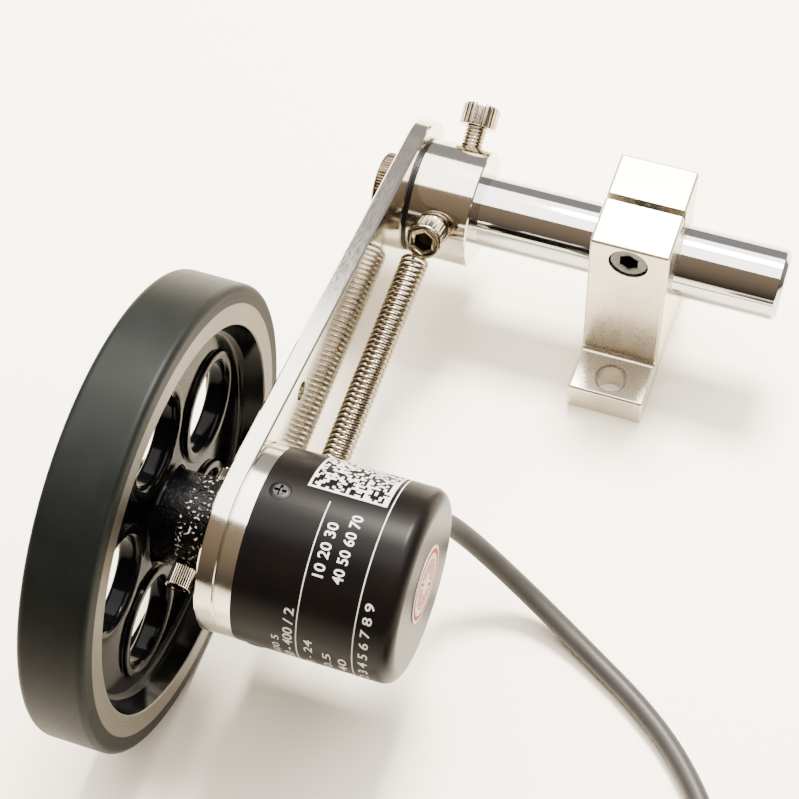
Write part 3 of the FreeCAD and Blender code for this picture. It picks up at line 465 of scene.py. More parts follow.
def cross(reach: float, width: float, angle: np.ndarray) -> np.ndarray:
    """Radius of a cross of that reach and arm width at each angle."""
    lengthways = np.abs(np.cos(angle)) + 1e-9
    sideways = np.abs(np.sin(angle)) + 1e-9
    first = np.minimum(reach / lengthways, width / 2 / sideways)
    second = np.minimum(reach / sideways, width / 2 / lengthways)
    return np.maximum(first, second)


def dressed_copy(node: str, name: str, finish: Finish, body: str, sharp_deg: float = 28.0) -> bpy.types.Object:
    """Smooth-shaded copy of a CAD node, which it replaces.

    The copy's loose triangles are merged, crisp edges are marked, and flat faces keep flat
    shading next to rounded ones through weighted normals.

    Args:
        node: the CAD node.
        name: the copy's name.
        finish: its finish.
        body: the body that it rides on.
        sharp_deg: edges that turn by more than this stay crisp.

    Returns:
        The copy.
    """
    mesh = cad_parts[node].data.copy()
    mesh.name = name
    mesh.materials.clear()
    mesh.materials.append(finish.build())
    for stale in ("custom_normal", "sharp_edge", "sharp_face"):
        if stale in mesh.attributes:
            mesh.attributes.remove(mesh.attributes[stale])
    clean(mesh, False)
    mesh.polygons.foreach_set("material_index", np.zeros(len(mesh.polygons), np.int32))
    shade(mesh, sharp_deg)
    made = placed(name, mesh)
    weigh_normals(made)
    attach(made, body)
    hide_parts(node)
    return made


def node_centre(node: str) -> np.ndarray:
    """Centre of a CAD node's box, in millimetres."""
    low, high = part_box(node)
    return (np.array(low) + np.array(high)) / 2 / MM


def node_low(node: str) -> np.ndarray:
    """Lowest corner of a CAD node's box, in millimetres."""
    return np.array(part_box(node)[0]) / MM


def node_high(node: str) -> np.ndarray:
    """Highest corner of a CAD node's box, in millimetres."""
    return np.array(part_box(node)[1]) / MM


HUB = node_centre("wheel_tyre")
PIVOT = node_centre("pivot_shaft")
HUB_CENTRE = (0.0, float(HUB[1]), float(HUB[2]))
PIVOT_CENTRE = (0.0, float(PIVOT[1]), float(PIVOT[2]))

# Anodised aluminium, bead blasted: pale, fine grained, soft highlights
BLOCK_ALUMINIUM = Finish("blasted_aluminium", "#CBC3B4", 1.0, 0.29, 0.08, grain_mm=0.3, grain_depth_mm=0.02,
                         tint="#B8AB97", tint_mm=7.0)
# Turned and clear anodised: nearly a mirror along its barrel, faint rings
COLLAR_ALUMINIUM = Finish("turned_collar_aluminium", "#CDC7BC", 1.0, 0.09, 0.03, pattern=Pattern.TURNED,
                          grain_mm=0.3, grain_depth_mm=0.002, centre=PIVOT_CENTRE)
FLANGE_ALUMINIUM = Finish("turned_flange_aluminium", "#D5D0C6", 1.0, 0.14, 0.04, pattern=Pattern.TURNED,
                          grain_mm=0.3, grain_depth_mm=0.0012, centre=HUB_CENTRE)
# Rolled plate, polished: close to a mirror, faint lines along the arm
ARM_ALUMINIUM = Finish("polished_plate", "#CCC7BD", 1.0, 0.12, 0.04, pattern=Pattern.BRUSHED, grain_mm=0.35,
                       grain_depth_mm=0.0012, centre=PIVOT_CENTRE, turn_deg=8.8, stretch=40.0)
# Ground and hard chromed bar: mirror with faint grinding rings
SHAFT_CHROME = Finish("hard_chrome", "#C0BEBD", 1.0, 0.05, 0.015, pattern=Pattern.TURNED, grain_mm=0.5,
                      grain_depth_mm=0.0006, centre=PIVOT_CENTRE)
# Nickel plate: warm, bright
NICKEL = Finish("nickel_plate", "#B5AC9A", 1.0, 0.1, 0.03, grain_mm=0.6, grain_depth_mm=0.003,
                tint="#847965", tint_mm=3.0)
# Nickel plate gone brown, on the bolt behind the arm
NICKEL_BROWN = Finish("browned_nickel_plate", "#594D3E", 1.0, 0.22, 0.05, grain_mm=0.5, grain_depth_mm=0.006,
                      tint="#3A2F23", tint_mm=2.0)
# Socket walls: oily, and darker in colour as painted shade, for little light falls into the recess; so a socket reads
# dark
SOCKET_OIL_AND_SHADE = Finish("socket_oil_and_painted_shade", "#3F352B", 1.0, 0.36, 0.08, grain_mm=0.4, grain_depth_mm=0.01)
# Plated spring wire: bright along each curl, dark between them
SPRING_NICKEL = Finish("nickel_spring_wire", "#8F8472", 1.0, 0.15, 0.03, grain_mm=0.5, grain_depth_mm=0.002,
                       tint="#75695A", tint_mm=5.0)
# Black oxide on steel: dark, oily sheen
BLACK_OXIDE = Finish("black_oxide", "#0C0D0E", 0.0, 0.28, 0.05, ior=1.6, grain_mm=0.25, grain_depth_mm=0.005)
# Black zinc on the cover's small screws: dull, so that the crossed slot reads as a shadow
BLACK_ZINC = Finish("black_zinc", "#0B0B0C", 0.0, 0.3, 0.05, ior=1.25, grain_mm=0.25, grain_depth_mm=0.004)
# Black anodised cup: satin pores swallow most light, so only the lights show, softly
COVER_BLACK = Finish("satin_black_anodised", "#090808", 0.0, 0.3, 0.03, ior=1.15, grain_mm=0.16,
                     grain_depth_mm=0.003, tint="#130E0C", tint_mm=14.0)
# Screen ink: matt and a little grey, so that it reads as print and not as a light
PRINT_WHITE = Finish("white_screen_print", "#B9B8B4", 0.0, 0.55, grain_mm=0.3, grain_depth_mm=0.002)
# Label stock and its ink: soft, with no highlight of their own
LABEL_PAPER = Finish("label_paper", "#C4BBB3", 0.0, 0.4, ior=1.15, grain_mm=0.2, grain_depth_mm=0.002)
LABEL_RED = Finish("label_red_ink", "#9A1512", 0.0, 0.45, ior=1.1, grain_mm=0.3, grain_depth_mm=0.001)
# Black stove paint on a casting: crisp highlights over a slightly uneven skin, deep black between
WHEEL_PAINT = Finish("black_stove_paint", "#050506", 0.0, 0.1, 0.02, ior=1.14, grain_mm=1.2, grain_depth_mm=0.01)
# The same paint where the casting is left rough: an uneven, wrinkled black
HUB_PAINT = Finish("black_paint_rough_casting", "#040405", 0.0, 0.06, 0.01, ior=1.14, grain_mm=0.8,
                   grain_depth_mm=0.32)
# Its end by the arm: pale flecks in the colour, painted glints of light on the peaks of the casting
HUB_PAINTED_GLINTS = Finish("rough_casting_painted_glints", "#040405", 0.0, 0.08, 0.02, ior=1.16, grain_mm=0.8,
                  grain_depth_mm=0.32, tint="#B9B1A6", tint_mm=0.8, tint_share=0.8, tint_from=0.6,
                  tint_to=0.67)
# Face turned bright after painting: fine rings
RIM_BRIGHT = Finish("machined_rim", "#6C665C", 1.0, 0.38, 0.06, pattern=Pattern.TURNED, grain_mm=0.3,
                    grain_depth_mm=0.01, centre=HUB_CENTRE)
# Ground rubber: matt, cool black, fine lines round the tread
TYRE_RUBBER = Finish("ground_rubber", "#0C0E0D", 0.0, 0.45, 0.02, ior=1.17, pattern=Pattern.TURNED, grain_mm=0.6,
                     grain_depth_mm=0.003, centre=HUB_CENTRE, tint="#131615", tint_mm=8.0)
# Moulded acetal: a dull black line between collar and arm
WASHER_BLACK = Finish("black_acetal", "#070707", 0.0, 0.4, ior=1.3, grain_mm=0.3, grain_depth_mm=0.003)
GROMMET_RUBBER = Finish("moulded_rubber", "#0B0B0B", 0.0, 0.6, ior=1.3, grain_mm=0.3, grain_depth_mm=0.006)
# Grey cable jacket: soft PVC, faint drag marks
JACKET_GREY = Finish("grey_pvc_jacket", "#2D2B29", 0.0, 0.42, 0.05, ior=1.3, grain_mm=0.5, grain_depth_mm=0.012,
                     tint="#353331", tint_mm=6.0)
# Shrunk sleeve and nylon tie: smooth blacks, a shade above the rubber
SLEEVE_BLACK = Finish("shrink_sleeve", "#121213", 0.0, 0.45, grain_mm=0.3, grain_depth_mm=0.004)
TIE_BLACK = Finish("black_nylon", "#101011", 0.0, 0.4, grain_mm=0.4, grain_depth_mm=0.004)
# Metals that show only at the cable's end or when the part is opened
TINNED = Finish("tinned_strands", "#C9C7C2", 1.0, 0.25, grain_mm=0.2, grain_depth_mm=0.01)
BRONZE = Finish("sintered_bronze", "#A4784A", 1.0, 0.35, grain_mm=0.2, grain_depth_mm=0.008)
BEARING_STEEL = Finish("ground_bearing_steel", "#C4C5C8", 1.0, 0.15, grain_mm=0.3, grain_depth_mm=0.002)
# What sits under the cover: lacquered board, moulded sensor, glossy film
BOARD_GREEN = Finish("epoxy_board", "#1F6B3C", 0.0, 0.35, grain_mm=0.4, grain_depth_mm=0.004)
SENSOR_BLACK = Finish("moulded_sensor", "#17181A", 0.0, 0.45, grain_mm=0.3, grain_depth_mm=0.004)
CODE_FILM = Finish("printed_code_film", "#4A4A4E", 0.0, 0.15, grain_mm=0.4, grain_depth_mm=0.001)
# Insulated cores, one colour each, and the bare screen
CORES = tuple(Finish(f"core_{name}", colour, 0.0, 0.35, grain_mm=0.3, grain_depth_mm=0.004)
              for name, colour in (("red", "#A8231C"), ("black", "#121213"), ("green", "#2B7536"),
                                   ("white", "#D8D6D1"), ("bare", "#A8A39A")))


@dataclass(frozen=True)
class ScrewSize:
    """Standard sizes of a socket screw; the edge is the head's rounding."""

    head_dia: float
    head_height: float
    socket: float
    socket_depth: float
    thread_dia: float
    thread_pitch: float
    edge: float


M5_PLAIN = ScrewSize(8.5, 5.0, 4.0, 2.6, 5.0, 0.8, 0.6)
M5_FLUTED = ScrewSize(8.5, 5.0, 4.0, 2.6, 5.0, 0.8, 0.7)
M3_FLUTED = ScrewSize(5.2, 4.2, 2.5, 1.6, 3.0, 0.5, 0.35)
SOCKET_SHARES = (1.0, 1.0, 0.8, 0.0)
SOCKET_MOUTH_SHARE = 0.64
SOCKET_CONE_SHARE = 0.12
BARREL_SHARE = 0.98


@dataclass
class SocketScrew:
    """Socket-head screw: head with a hexagon socket, and the stretch of thread that shows."""

    name: str
    seat: Seat
    size: ScrewSize
    shank: float
    finish: Finish
    flutes: int = 0
    flute_depth_share: float = 0.05
    socket_finish: Finish = SOCKET_OIL_AND_SHADE
    thread_segments: int = 64
    rows_per_pitch: int = 14

    def add_head(self, draft: Draft) -> None:
        """Adds the head: its barrel, rounded rim, hexagon socket and the socket's coned floor."""
        size = self.size
        segments = 180 if self.flutes else 96
        angle = round_angles(segments)
        radius = size.head_dia / 2
        outer = eased([
            (0.0, 0.0, 0.0), (0.0, radius, size.edge / 2), (size.head_height, radius, size.edge),
            (size.head_height, size.socket * SOCKET_MOUTH_SHARE, 0.0),
        ])
        along, radii = spread(outer, segments)
        if self.flutes:
            radii = fluted(radii, radius * BARREL_SHARE, self.flutes, self.flute_depth_share, angle)
        floor = size.head_height - size.socket_depth
        levels = (size.head_height - size.edge / 3, floor, floor, floor - size.socket * SOCKET_CONE_SHARE)
        along, radii = with_recess(along, radii, hexagon(size.socket, angle), levels, SOCKET_SHARES)
        points = turned(self.seat, along, radii)
        draft.grid(points[:-3], self.finish)
        # The socket's walls and floor take the socket finish, which on the plated screws is painted shade
        draft.grid(points[-4:], self.socket_finish)

    def add_thread(self, draft: Draft) -> None:
        """Adds the thread: the radius is a cosine of distance over pitch less the turn."""
        pitch = self.size.thread_pitch
        rows = max(int(self.shank / pitch * self.rows_per_pitch), 12)
        angle = round_angles(self.thread_segments)
        along = np.linspace(-self.shank, 0.0, rows)[:, None] + np.zeros(self.thread_segments)
        phase = along / pitch - angle / (2 * np.pi)
        depth = 0.5 * pitch
        radii = self.size.thread_dia / 2 - depth / 2 * (1 - np.cos(2 * np.pi * phase))
        ends = np.zeros((1, self.thread_segments))
        along = np.vstack([along[:1], along, along[-1:]])
        radii = np.vstack([ends, radii, ends])
        draft.grid(turned(self.seat, along, radii), self.finish)

    def build(self) -> bpy.types.Object:
        """Makes the screw."""
        draft = Draft(self.name)
        self.add_head(draft)
        self.add_thread(draft)
        return draft.build(sharp_deg=50.0)


@dataclass
class ClampAssembly:
    """Shaft support block with its clamp screw, and the shaft that it holds."""

    shaft_chamfer: float = 1.0

    def build_block(self) -> None:
        """Dresses the block, whose CAD form already has its slot, holes and rounded edges."""
        dressed_copy("shaft_support_block", "support_block", BLOCK_ALUMINIUM, "base")
        LOG.info("support_block")

    def build_clamp_screw(self) -> None:
        """Makes the black socket screw that closes the block on the shaft."""
        low = node_low("block_clamp_screw")
        high = node_high("block_clamp_screw")
        centre = node_centre("block_clamp_screw")
        origin = (centre[0], low[1] + M5_PLAIN.head_height, centre[2])
        seat = Seat(origin, (0.0, -1.0, 0.0), (1.0, 0.0, 0.0), (0.0, 0.0, 1.0))
        shank = high[1] - low[1] - M5_PLAIN.head_height
        screw = SocketScrew("clamp_screw", seat, M5_PLAIN, shank, BLACK_OXIDE, socket_finish=BLACK_OXIDE).build()
        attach(screw, "base")
        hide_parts("block_clamp_screw")
        LOG.info("clamp_screw")

    def build_shaft(self) -> None:
        """Turns the shaft with a small eased chamfer at each end."""
        start = node_low("pivot_shaft")[0]
        end = node_high("pivot_shaft")[0]
        radius = (node_high("pivot_shaft")[2] - node_low("pivot_shaft")[2]) / 2
        cut = self.shaft_chamfer
        profile = eased([
            (start, 0.0, 0.0), (start, radius - cut, 0.15), (start + cut, radius, 0.2),
            (end - cut, radius, 0.2), (end, radius - cut, 0.15), (end, 0.0, 0.0),
        ])
        draft = Draft("chromed_shaft")
        lathe(draft, profile, seat_on_x(PIVOT_CENTRE[1], PIVOT_CENTRE[2]), SHAFT_CHROME, 160)
        shaft = draft.build(sharp_deg=30.0)
        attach(shaft, "shaft")
        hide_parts("pivot_shaft")
        LOG.info("chromed_shaft")

    def build(self) -> None:
        """Makes the whole clamp."""
        self.build_block()
        self.build_clamp_screw()
        self.build_shaft()


@dataclass
class PivotAssembly:
    """Collar on the shaft's end with its two screws, washer and pivot bolt."""

    bolt_head_height: float = 5.7
    bolt_head_edge: float = 1.1
    bolt_socket: float = 6.0
    bolt_socket_depth: float = 2.8
    bolt_mouth_depth: float = 0.2
    bolt_cone_depth: float = 0.5
    bolt_mouth_share: float = 0.62
    bolt_barrel_share: float = 0.985
    bolt_flutes: int = 72
    bolt_segments: int = 240
    shoulder_radius: float = 5.0
    thread_radius: float = 4.0
    thread_length: float = 3.4
    thread_from: float = 8.2
    screw_flutes: int = 30
    flute_depth_share: float = 0.02
    lock_deg: float = 30.0
    anchor_deg: float = 25.0
    lock_reach: float = 22.8
    anchor_reach: float = 20.8
    lock_x: float = -43.0
    anchor_x: float = -44.3

    def collar_seat(self, x: float, direction: tuple[float, float], reach: float) -> Seat:
        """Seat under a collar screw's head, pointing out of the collar."""
        under = reach - M5_FLUTED.head_height
        origin = (x, PIVOT_CENTRE[1] + direction[0] * under, PIVOT_CENTRE[2] + direction[1] * under)
        return seat_at(origin, (0.0, direction[0], direction[1]))

    def build_screws(self) -> None:
        """Makes the lock screw on top and the front screw that the spring hangs on."""
        lock = math.radians(self.lock_deg)
        anchor = math.radians(self.anchor_deg)
        places = (
            ("lock_screw", "collar_lock_screw", self.lock_x, (math.cos(lock), math.sin(lock)), self.lock_reach),
            ("anchor_screw", "spring_anchor_screw", self.anchor_x, (-math.cos(anchor), math.sin(anchor)),
             self.anchor_reach),
        )
        for name, node, x, direction, reach in places:
            seat = self.collar_seat(x, direction, reach)
            shank = reach - M5_FLUTED.head_height - self.thread_from
            screw = SocketScrew(name, seat, M5_FLUTED, shank, NICKEL, flutes=self.screw_flutes,
                                flute_depth_share=self.flute_depth_share).build()
            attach(screw, "collar")
            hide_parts(node)
            LOG.info(name)

    def build_bolt(self) -> None:
        """Turns the pivot bolt: shoulder, and a domed head with fine flutes and a hexagon socket."""
        low = node_low("pivot_bolt")[0]
        high = node_high("pivot_bolt")[0]
        radius = (node_high("pivot_bolt")[2] - node_low("pivot_bolt")[2]) / 2
        under = low + self.bolt_head_height
        draft = Draft("pivot_bolt_head")
        seat = seat_on_x(PIVOT_CENTRE[1], PIVOT_CENTRE[2])
        angle = round_angles(self.bolt_segments)
        seating = high - self.thread_length
        outer = eased([
            (high, 0.0, 0.0), (high, self.thread_radius, 0.2), (seating, self.thread_radius, 0.0),
            (seating, self.shoulder_radius, 0.1), (under, self.shoulder_radius, 0.0), (under, radius, 0.3),
            (low, radius, self.bolt_head_edge), (low, self.bolt_socket * self.bolt_mouth_share, 0.0),
        ])
        along, radii = spread(outer, self.bolt_segments)
        radii = fluted(radii, radius * self.bolt_barrel_share, self.bolt_flutes, self.flute_depth_share, angle)
        floor = low + self.bolt_socket_depth
        levels = (low + self.bolt_mouth_depth, floor, floor, floor + self.bolt_cone_depth)
        along, radii = with_recess(along, radii, hexagon(self.bolt_socket, angle), levels, SOCKET_SHARES)
        draft.grid(turned(seat, along, radii), NICKEL_BROWN)
        bolt = draft.build()
        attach(bolt, "collar")
        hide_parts("pivot_bolt")
        LOG.info("pivot_bolt_head")

    def build(self) -> None:
        """Makes the whole pivot."""
        dressed_copy("pivot_collar", "turned_collar", COLLAR_ALUMINIUM, "collar")
        dressed_copy("thrust_washer", "black_washer", WASHER_BLACK, "collar")
        self.build_screws()
        self.build_bolt()


@dataclass
class SpringAssembly:
    """Extension spring between the collar's front screw and the arm's post."""

    wire: float = 0.8
    mid_dia: float = 5.6
    turns: int = 41
    spring_x: float = -46.4
    top_reach: float = 18.6
    top_deg: float = 3.2
    anchor_x: float = -44.3
    anchor_deg: float = 25.0
    anchor_seat: float = 14.3
    neck: float = 5.5
    lower_run: float = 4.6
    hook_clear: float = 0.15
    post_dia: float = 4.0
    screw_dia: float = 5.0
    spans: int = 6
    lower_hook_deg: tuple[int, int, int] = (-70, 181, 50)
    upper_hook_deg: tuple[int, int, int] = (0, 176, 35)
    pull_share: float = 0.19

    def stations(self) -> tuple[np.ndarray, np.ndarray]:
        """Points and directions of the wire: lower hook, coils, neck, upper hook.

        Returns:
            Two arrays of rows of three.
        """
        across = np.array([-1.0, 0.0, 0.0])
        pivot = np.array([self.spring_x, PIVOT_CENTRE[1], PIVOT_CENTRE[2]])
        low, high = node_low("spring_post"), node_high("spring_post")
        post = np.array([self.spring_x, (low[1] + high[1]) / 2, (low[2] + high[2]) / 2])
        lean = math.radians(self.top_deg)
        top = pivot + self.top_reach * np.array([0.0, -math.cos(lean), math.sin(lean)])
        axis = (top - post) / np.linalg.norm(top - post)
        rise = np.cross(axis, across)
        bottom = post + axis * self.lower_run
        hook = self.post_dia / 2 + self.wire / 2 + self.hook_clear
        turn = np.radians(np.arange(*self.lower_hook_deg))[:, None]
        lower = post - rise * hook * np.cos(turn) - axis * hook * np.sin(turn)
        lower_way = rise * np.sin(turn) - axis * np.cos(turn)
        quarter = np.arange(4 * self.turns + 2)[:, None]
        pitch = np.linalg.norm(top - bottom) / (self.turns + 0.25)
        angle = np.pi + quarter * np.pi / 2
        radius = self.mid_dia / 2
        coils = bottom + axis * pitch * quarter / 4 + radius * (across * np.cos(angle) + rise * np.sin(angle))
        coils_way = radius * (rise * np.cos(angle) - across * np.sin(angle)) + axis * pitch / (2 * np.pi)
        tilt = math.radians(self.anchor_deg)
        out = np.array([0.0, -math.cos(tilt), math.sin(tilt)])
        lift = np.cross(across, out)
        centre = np.array([self.anchor_x, PIVOT_CENTRE[1], PIVOT_CENTRE[2]]) + out * self.anchor_seat
        loop = self.screw_dia / 2 + self.wire / 2 + self.hook_clear
        neck = (centre + across * loop - lift * self.neck)[None, :]
        turn = np.radians(np.arange(*self.upper_hook_deg))[:, None]
        upper = centre + loop * (across * np.cos(turn) + lift * np.sin(turn))
        upper_way = lift * np.cos(turn) - across * np.sin(turn)
        points = np.vstack([lower, coils, neck, upper])
        ways = np.vstack([lower_way, coils_way, lift[None, :], upper_way])
        return points, ways / np.linalg.norm(ways, axis=1)[:, None]

    def wire_path(self) -> np.ndarray:
        """Cubic curves through the stations, each leaving along its own direction.

        The pull at each end of a span is the chord over the cosine of a quarter of its turn, which
        keeps a quarter turn within a hundredth of a circle.

        Returns:
            Points along the wire.
        """
        points, ways = self.stations()
        chord = np.linalg.norm(np.diff(points, axis=0), axis=1)[:, None]
        bend = np.clip(np.sum(ways[:-1] * ways[1:], axis=1), -1, 1)[:, None]
        pull = chord * (1 + self.pull_share * (1 - bend))
        share = np.linspace(0, 1, self.spans, endpoint=False)[None, :, None]
        first, second = points[:-1, None, :], points[1:, None, :]
        start, end = (ways[:-1] * pull)[:, None, :], (ways[1:] * pull)[:, None, :]
        made = ((2 * share ** 3 - 3 * share ** 2 + 1) * first + (share ** 3 - 2 * share ** 2 + share) * start
                + (3 * share ** 2 - 2 * share ** 3) * second + (share ** 3 - share ** 2) * end)
        tail = points[-1] + ways[-1] * self.wire
        head = points[0] - ways[0] * self.wire
        return np.vstack([head[None, :], made.reshape(-1, 3), points[-1:], tail[None, :]])

    def build(self) -> None:
        """Makes the wire, bent between the collar and the arm, and the post that it hangs on."""
        wire = round_wire("spring_wire", self.wire_path(), self.wire, SPRING_NICKEL)
        points, _ = self.stations()
        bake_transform(wire)
        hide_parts("extension_spring")
        LOG.info("spring_wire")
        dressed_copy("spring_post", "spring_hook_post", NICKEL, "arm")


def round_wire(name: str, path: np.ndarray, dia: float, finish: Finish, rounds: int = 4) -> bpy.types.Object:
    """Round wire along a path, made through a bevelled curve and turned to a mesh.

    Args:
        name: the piece's name.
        path: rows of three, in millimetres.
        dia: the wire's diameter.
        finish: its finish.
        rounds: fineness of its section.

    Returns:
        A mesh object.
    """
    curve = bpy.data.curves.new(name + "_curve", "CURVE")
    curve.dimensions = "3D"
    curve.bevel_depth = dia / 2 * MM
    curve.bevel_resolution = rounds
    curve.use_fill_caps = True
    spline = curve.splines.new("POLY")
    spline.points.add(len(path) - 1)
    spline.points.foreach_set("co", np.hstack([path * MM, np.ones((len(path), 1))]).ravel())
    mesh = mesh_of(name, curve)
    mesh.materials.clear()
    mesh.materials.append(finish.build())
    shade(mesh, 50.0)
    return placed(name, mesh)


@dataclass
class MeasuringWheel:
    """Spoked casting with lipped holes, bright rim face, long hub and rubber tyre."""

    rim_radius: float = 43.996
    rim_inner: float = 39.6
    rim_draft: float = 1.6
    web_depth: float = 5.1
    web_thickness: float = 3.0
    hub_radius: float = 9.5
    hub_end_x: float = -57.0
    glint_share: float = 0.4
    hole_radius: float = 9.2
    hole_pitch: float = 23.5
    hole_count: int = 5
    hole_start_deg: float = 24.0
    lip_width: float = 2.6
    lip_height: float = 0.9
    lip_edge: float = 0.8
    lip_mouth: float = 1.4
    screw_x: float = -61.4
    screw_angles: tuple[float, ...] = (-7.0, 195.0)
    tyre_shoulder: float = 1.5
    bore: float = 3.05
    fillet: float = 1.6
    rim_break: float = 0.25
    rim_round: float = 0.12
    hub_edge: float = 0.7
    boss_recess: float = 1.5
    smooth_run: float = 3.5
    barrel_rows: int = 40
    lip_skirt: float = 0.5
    lip_foot_round: float = 0.4
    middle_gap: float = 0.05
    web_shares: tuple[float, ...] = (0.0, 0.35, 0.7)
    web_segments: int = 160
    segments: int = 360
    screw_proud: float = 0.3
    screw_tip: float = 3.2

    def __post_init__(self) -> None:
        """Reads the wheel's faces and tread from the frame."""
        self.far_x = float(node_low("wheel_tyre")[0])
        self.near_x = float(node_high("wheel_tyre")[0])
        self.tread_radius = float(node_high("wheel_tyre")[2] - node_low("wheel_tyre")[2]) / 2
        self.web_near = self.near_x - self.web_depth
        self.web_far = self.web_near - self.web_thickness
        self.seat = seat_on_x(HUB_CENTRE[1], HUB_CENTRE[2])

    def add_rim(self, draft: Draft) -> None:
        """Adds the rim as a closed ring whose faces are bright and whose inside is painted."""
        inner = self.rim_inner - self.rim_draft - self.fillet
        near = self.near_x
        far = self.far_x
        painted_near = eased([
            (near - self.rim_break, self.rim_inner, 0.0),
            (self.web_near, self.rim_inner - self.rim_draft, self.fillet),
            (self.web_near, inner, 0.0),
        ])
        painted_far = eased([
            (self.web_far, inner, 0.0), (self.web_far, self.rim_inner - self.rim_draft, self.fillet),
            (far + self.rim_break, self.rim_inner, 0.0),
        ])
        bright_near = eased([
            (near - self.rim_break, self.rim_inner, 0.0), (near, self.rim_inner + self.rim_break, self.rim_round),
            (near, self.rim_radius, 0.0),
        ])
        bright_far = eased([
            (far, self.rim_radius, 0.0), (far, self.rim_inner + self.rim_break, self.rim_round),
            (far + self.rim_break, self.rim_inner, 0.0),
        ])
        barrel = np.array([(near, self.rim_radius), (far, self.rim_radius)])
        for profile, finish in ((painted_near, WHEEL_PAINT), (painted_far, WHEEL_PAINT), (bright_near, RIM_BRIGHT),
                                (bright_far, RIM_BRIGHT), (barrel, RIM_BRIGHT)):
            lathe(draft, profile, self.seat, finish, self.segments)

    def add_hub(self, draft: Draft) -> None:
        """Adds the hub: a rough barrel towards the arm, a short boss behind, and the bore."""
        radius = self.hub_radius
        foot = radius + self.fillet
        back = self.far_x + self.boss_recess
        near = eased([
            (self.web_near, foot, 0.0), (self.web_near, radius, self.fillet), (self.hub_end_x, radius, self.hub_edge),
            (self.hub_end_x, self.bore, 0.0),
        ])
        far = eased([
            (back, self.bore, 0.0), (back, radius, self.hub_edge), (self.web_far, radius, self.fillet),
            (self.web_far, foot, 0.0),
        ])
        bore = np.array([(self.hub_end_x, self.bore), (back, self.bore)])
        split = int(np.argmin(np.abs(near[:, 0] - (self.web_near + self.smooth_run)))) + 1
        span = np.linspace(near[split - 1, 0], self.hub_end_x - self.hub_edge, self.barrel_rows)
        barrel = np.stack([span, np.full(self.barrel_rows, radius)], axis=1)
        # The barrel's end by the arm takes pale flecks in its colour: painted glints on the casting's peaks
        glinting = int(self.glint_share * len(barrel))
        for profile, finish in ((near[:split], WHEEL_PAINT), (barrel[:glinting + 1], HUB_PAINT),
                                (barrel[glinting:], HUB_PAINTED_GLINTS), (np.vstack([barrel[-1:], near[split + 1:]]), HUB_PAINTED_GLINTS),
                                (far, WHEEL_PAINT), (bore, BEARING_STEEL)):
            lathe(draft, profile, self.seat, finish, self.segments)

    def boundary(self, angle: np.ndarray) -> tuple[np.ndarray, np.ndarray]:
        """Edge of one fifth of the web, seen from its hole's centre.

        A ray from the hole's centre at each angle ends at the first of: the circle of the hub's
        foot, the circle of the rim's foot, or the two radial lines half way to the next holes.

        Args:
            angle: angles round the hole, nought pointing away from the hub.

        Returns:
            Distances outwards and sideways from the wheel's axis.
        """
        foot = self.hub_radius + self.fillet
        edge = self.rim_inner - self.rim_draft - self.fillet
        half = np.pi / self.hole_count
        way = np.stack([np.cos(angle), np.sin(angle)])
        middle = self.hole_pitch * way[0]
        outer = -middle + np.sqrt(middle ** 2 - self.hole_pitch ** 2 + edge ** 2)
        inside = middle ** 2 - self.hole_pitch ** 2 + foot ** 2
        inner = np.where((inside > 0) & (middle < 0), -middle - np.sqrt(np.maximum(inside, 0)), np.inf)
        normal = np.array([np.sin(half), -np.cos(half)])
        with np.errstate(divide="ignore"):
            upper = -self.hole_pitch * normal[0] / (normal @ way)
            lower = -self.hole_pitch * normal[0] / (np.array([normal[0], -normal[1]]) @ way)
        upper = np.where(upper > 0, upper, np.inf)
        lower = np.where(lower > 0, lower, np.inf)
        reach = np.minimum.reduce([outer, inner, upper, lower])
        return self.hole_pitch + reach * way[0], reach * way[1]

    def corner_angles(self, count: int) -> np.ndarray:
        """Angles round a hole, even but with the sector's four corners and their neighbours kept."""
        foot = self.hub_radius + self.fillet
        edge = self.rim_inner - self.rim_draft - self.fillet
        half = np.pi / self.hole_count
        corners = []
        for radius in (foot, edge):
            for sign in (-1, 1):
                corners.append(math.atan2(sign * radius * math.sin(half), radius * math.cos(half) - self.hole_pitch))
        even = np.linspace(-np.pi, np.pi, count, endpoint=False)
        return np.unique(np.round(np.concatenate([even, corners]), 9))

    def add_web(self, draft: Draft) -> None:
        """Adds the web, one grid for each hole.

        Rows run from the sector's edge over the near face to the lip, round through the hole and
        back over the far face.  The lip is a low ring with a rounded rim and a wide rounded mouth.
        """
        angle = self.corner_angles(self.web_segments)
        edge_out, edge_side = self.boundary(angle)
        edge_reach = np.hypot(edge_out - self.hole_pitch, edge_side)
        foot = self.hole_radius + self.lip_width
        skirt = foot + self.lip_skirt
        lip = eased([
            (0.0, skirt, 0.0), (0.0, foot, self.lip_foot_round), (self.lip_height, foot, self.lip_edge / 2),
            (self.lip_height, self.hole_radius, self.lip_mouth),
            (-self.web_thickness / 2 + self.middle_gap, self.hole_radius, 0.0),
        ], steps=8)
        rows = []
        heights = []
        for share in self.web_shares:
            rows.append(edge_reach * (1 - share) + skirt * share)
            heights.append(0.0)
        for height, radius in lip:
            rows.append(np.full(len(angle), radius))
            heights.append(height)
        reach = np.stack(rows)
        rise = np.array(heights)[:, None]
        near = self.web_near + rise + np.zeros(len(angle))
        far = self.web_far - rise + np.zeros(len(angle))
        along = np.vstack([near, far[::-1]])
        reach = np.vstack([reach, reach[::-1]])
        out = self.hole_pitch + reach * np.cos(angle)
        side = reach * np.sin(angle)
        for step in range(self.hole_count):
            turned = math.radians(self.hole_start_deg) + 2 * math.pi * step / self.hole_count
            radius = np.hypot(out, side)
            bearing = np.arctan2(side, out) + turned
            draft.grid(self.seat.place(along, radius, bearing), WHEEL_PAINT)

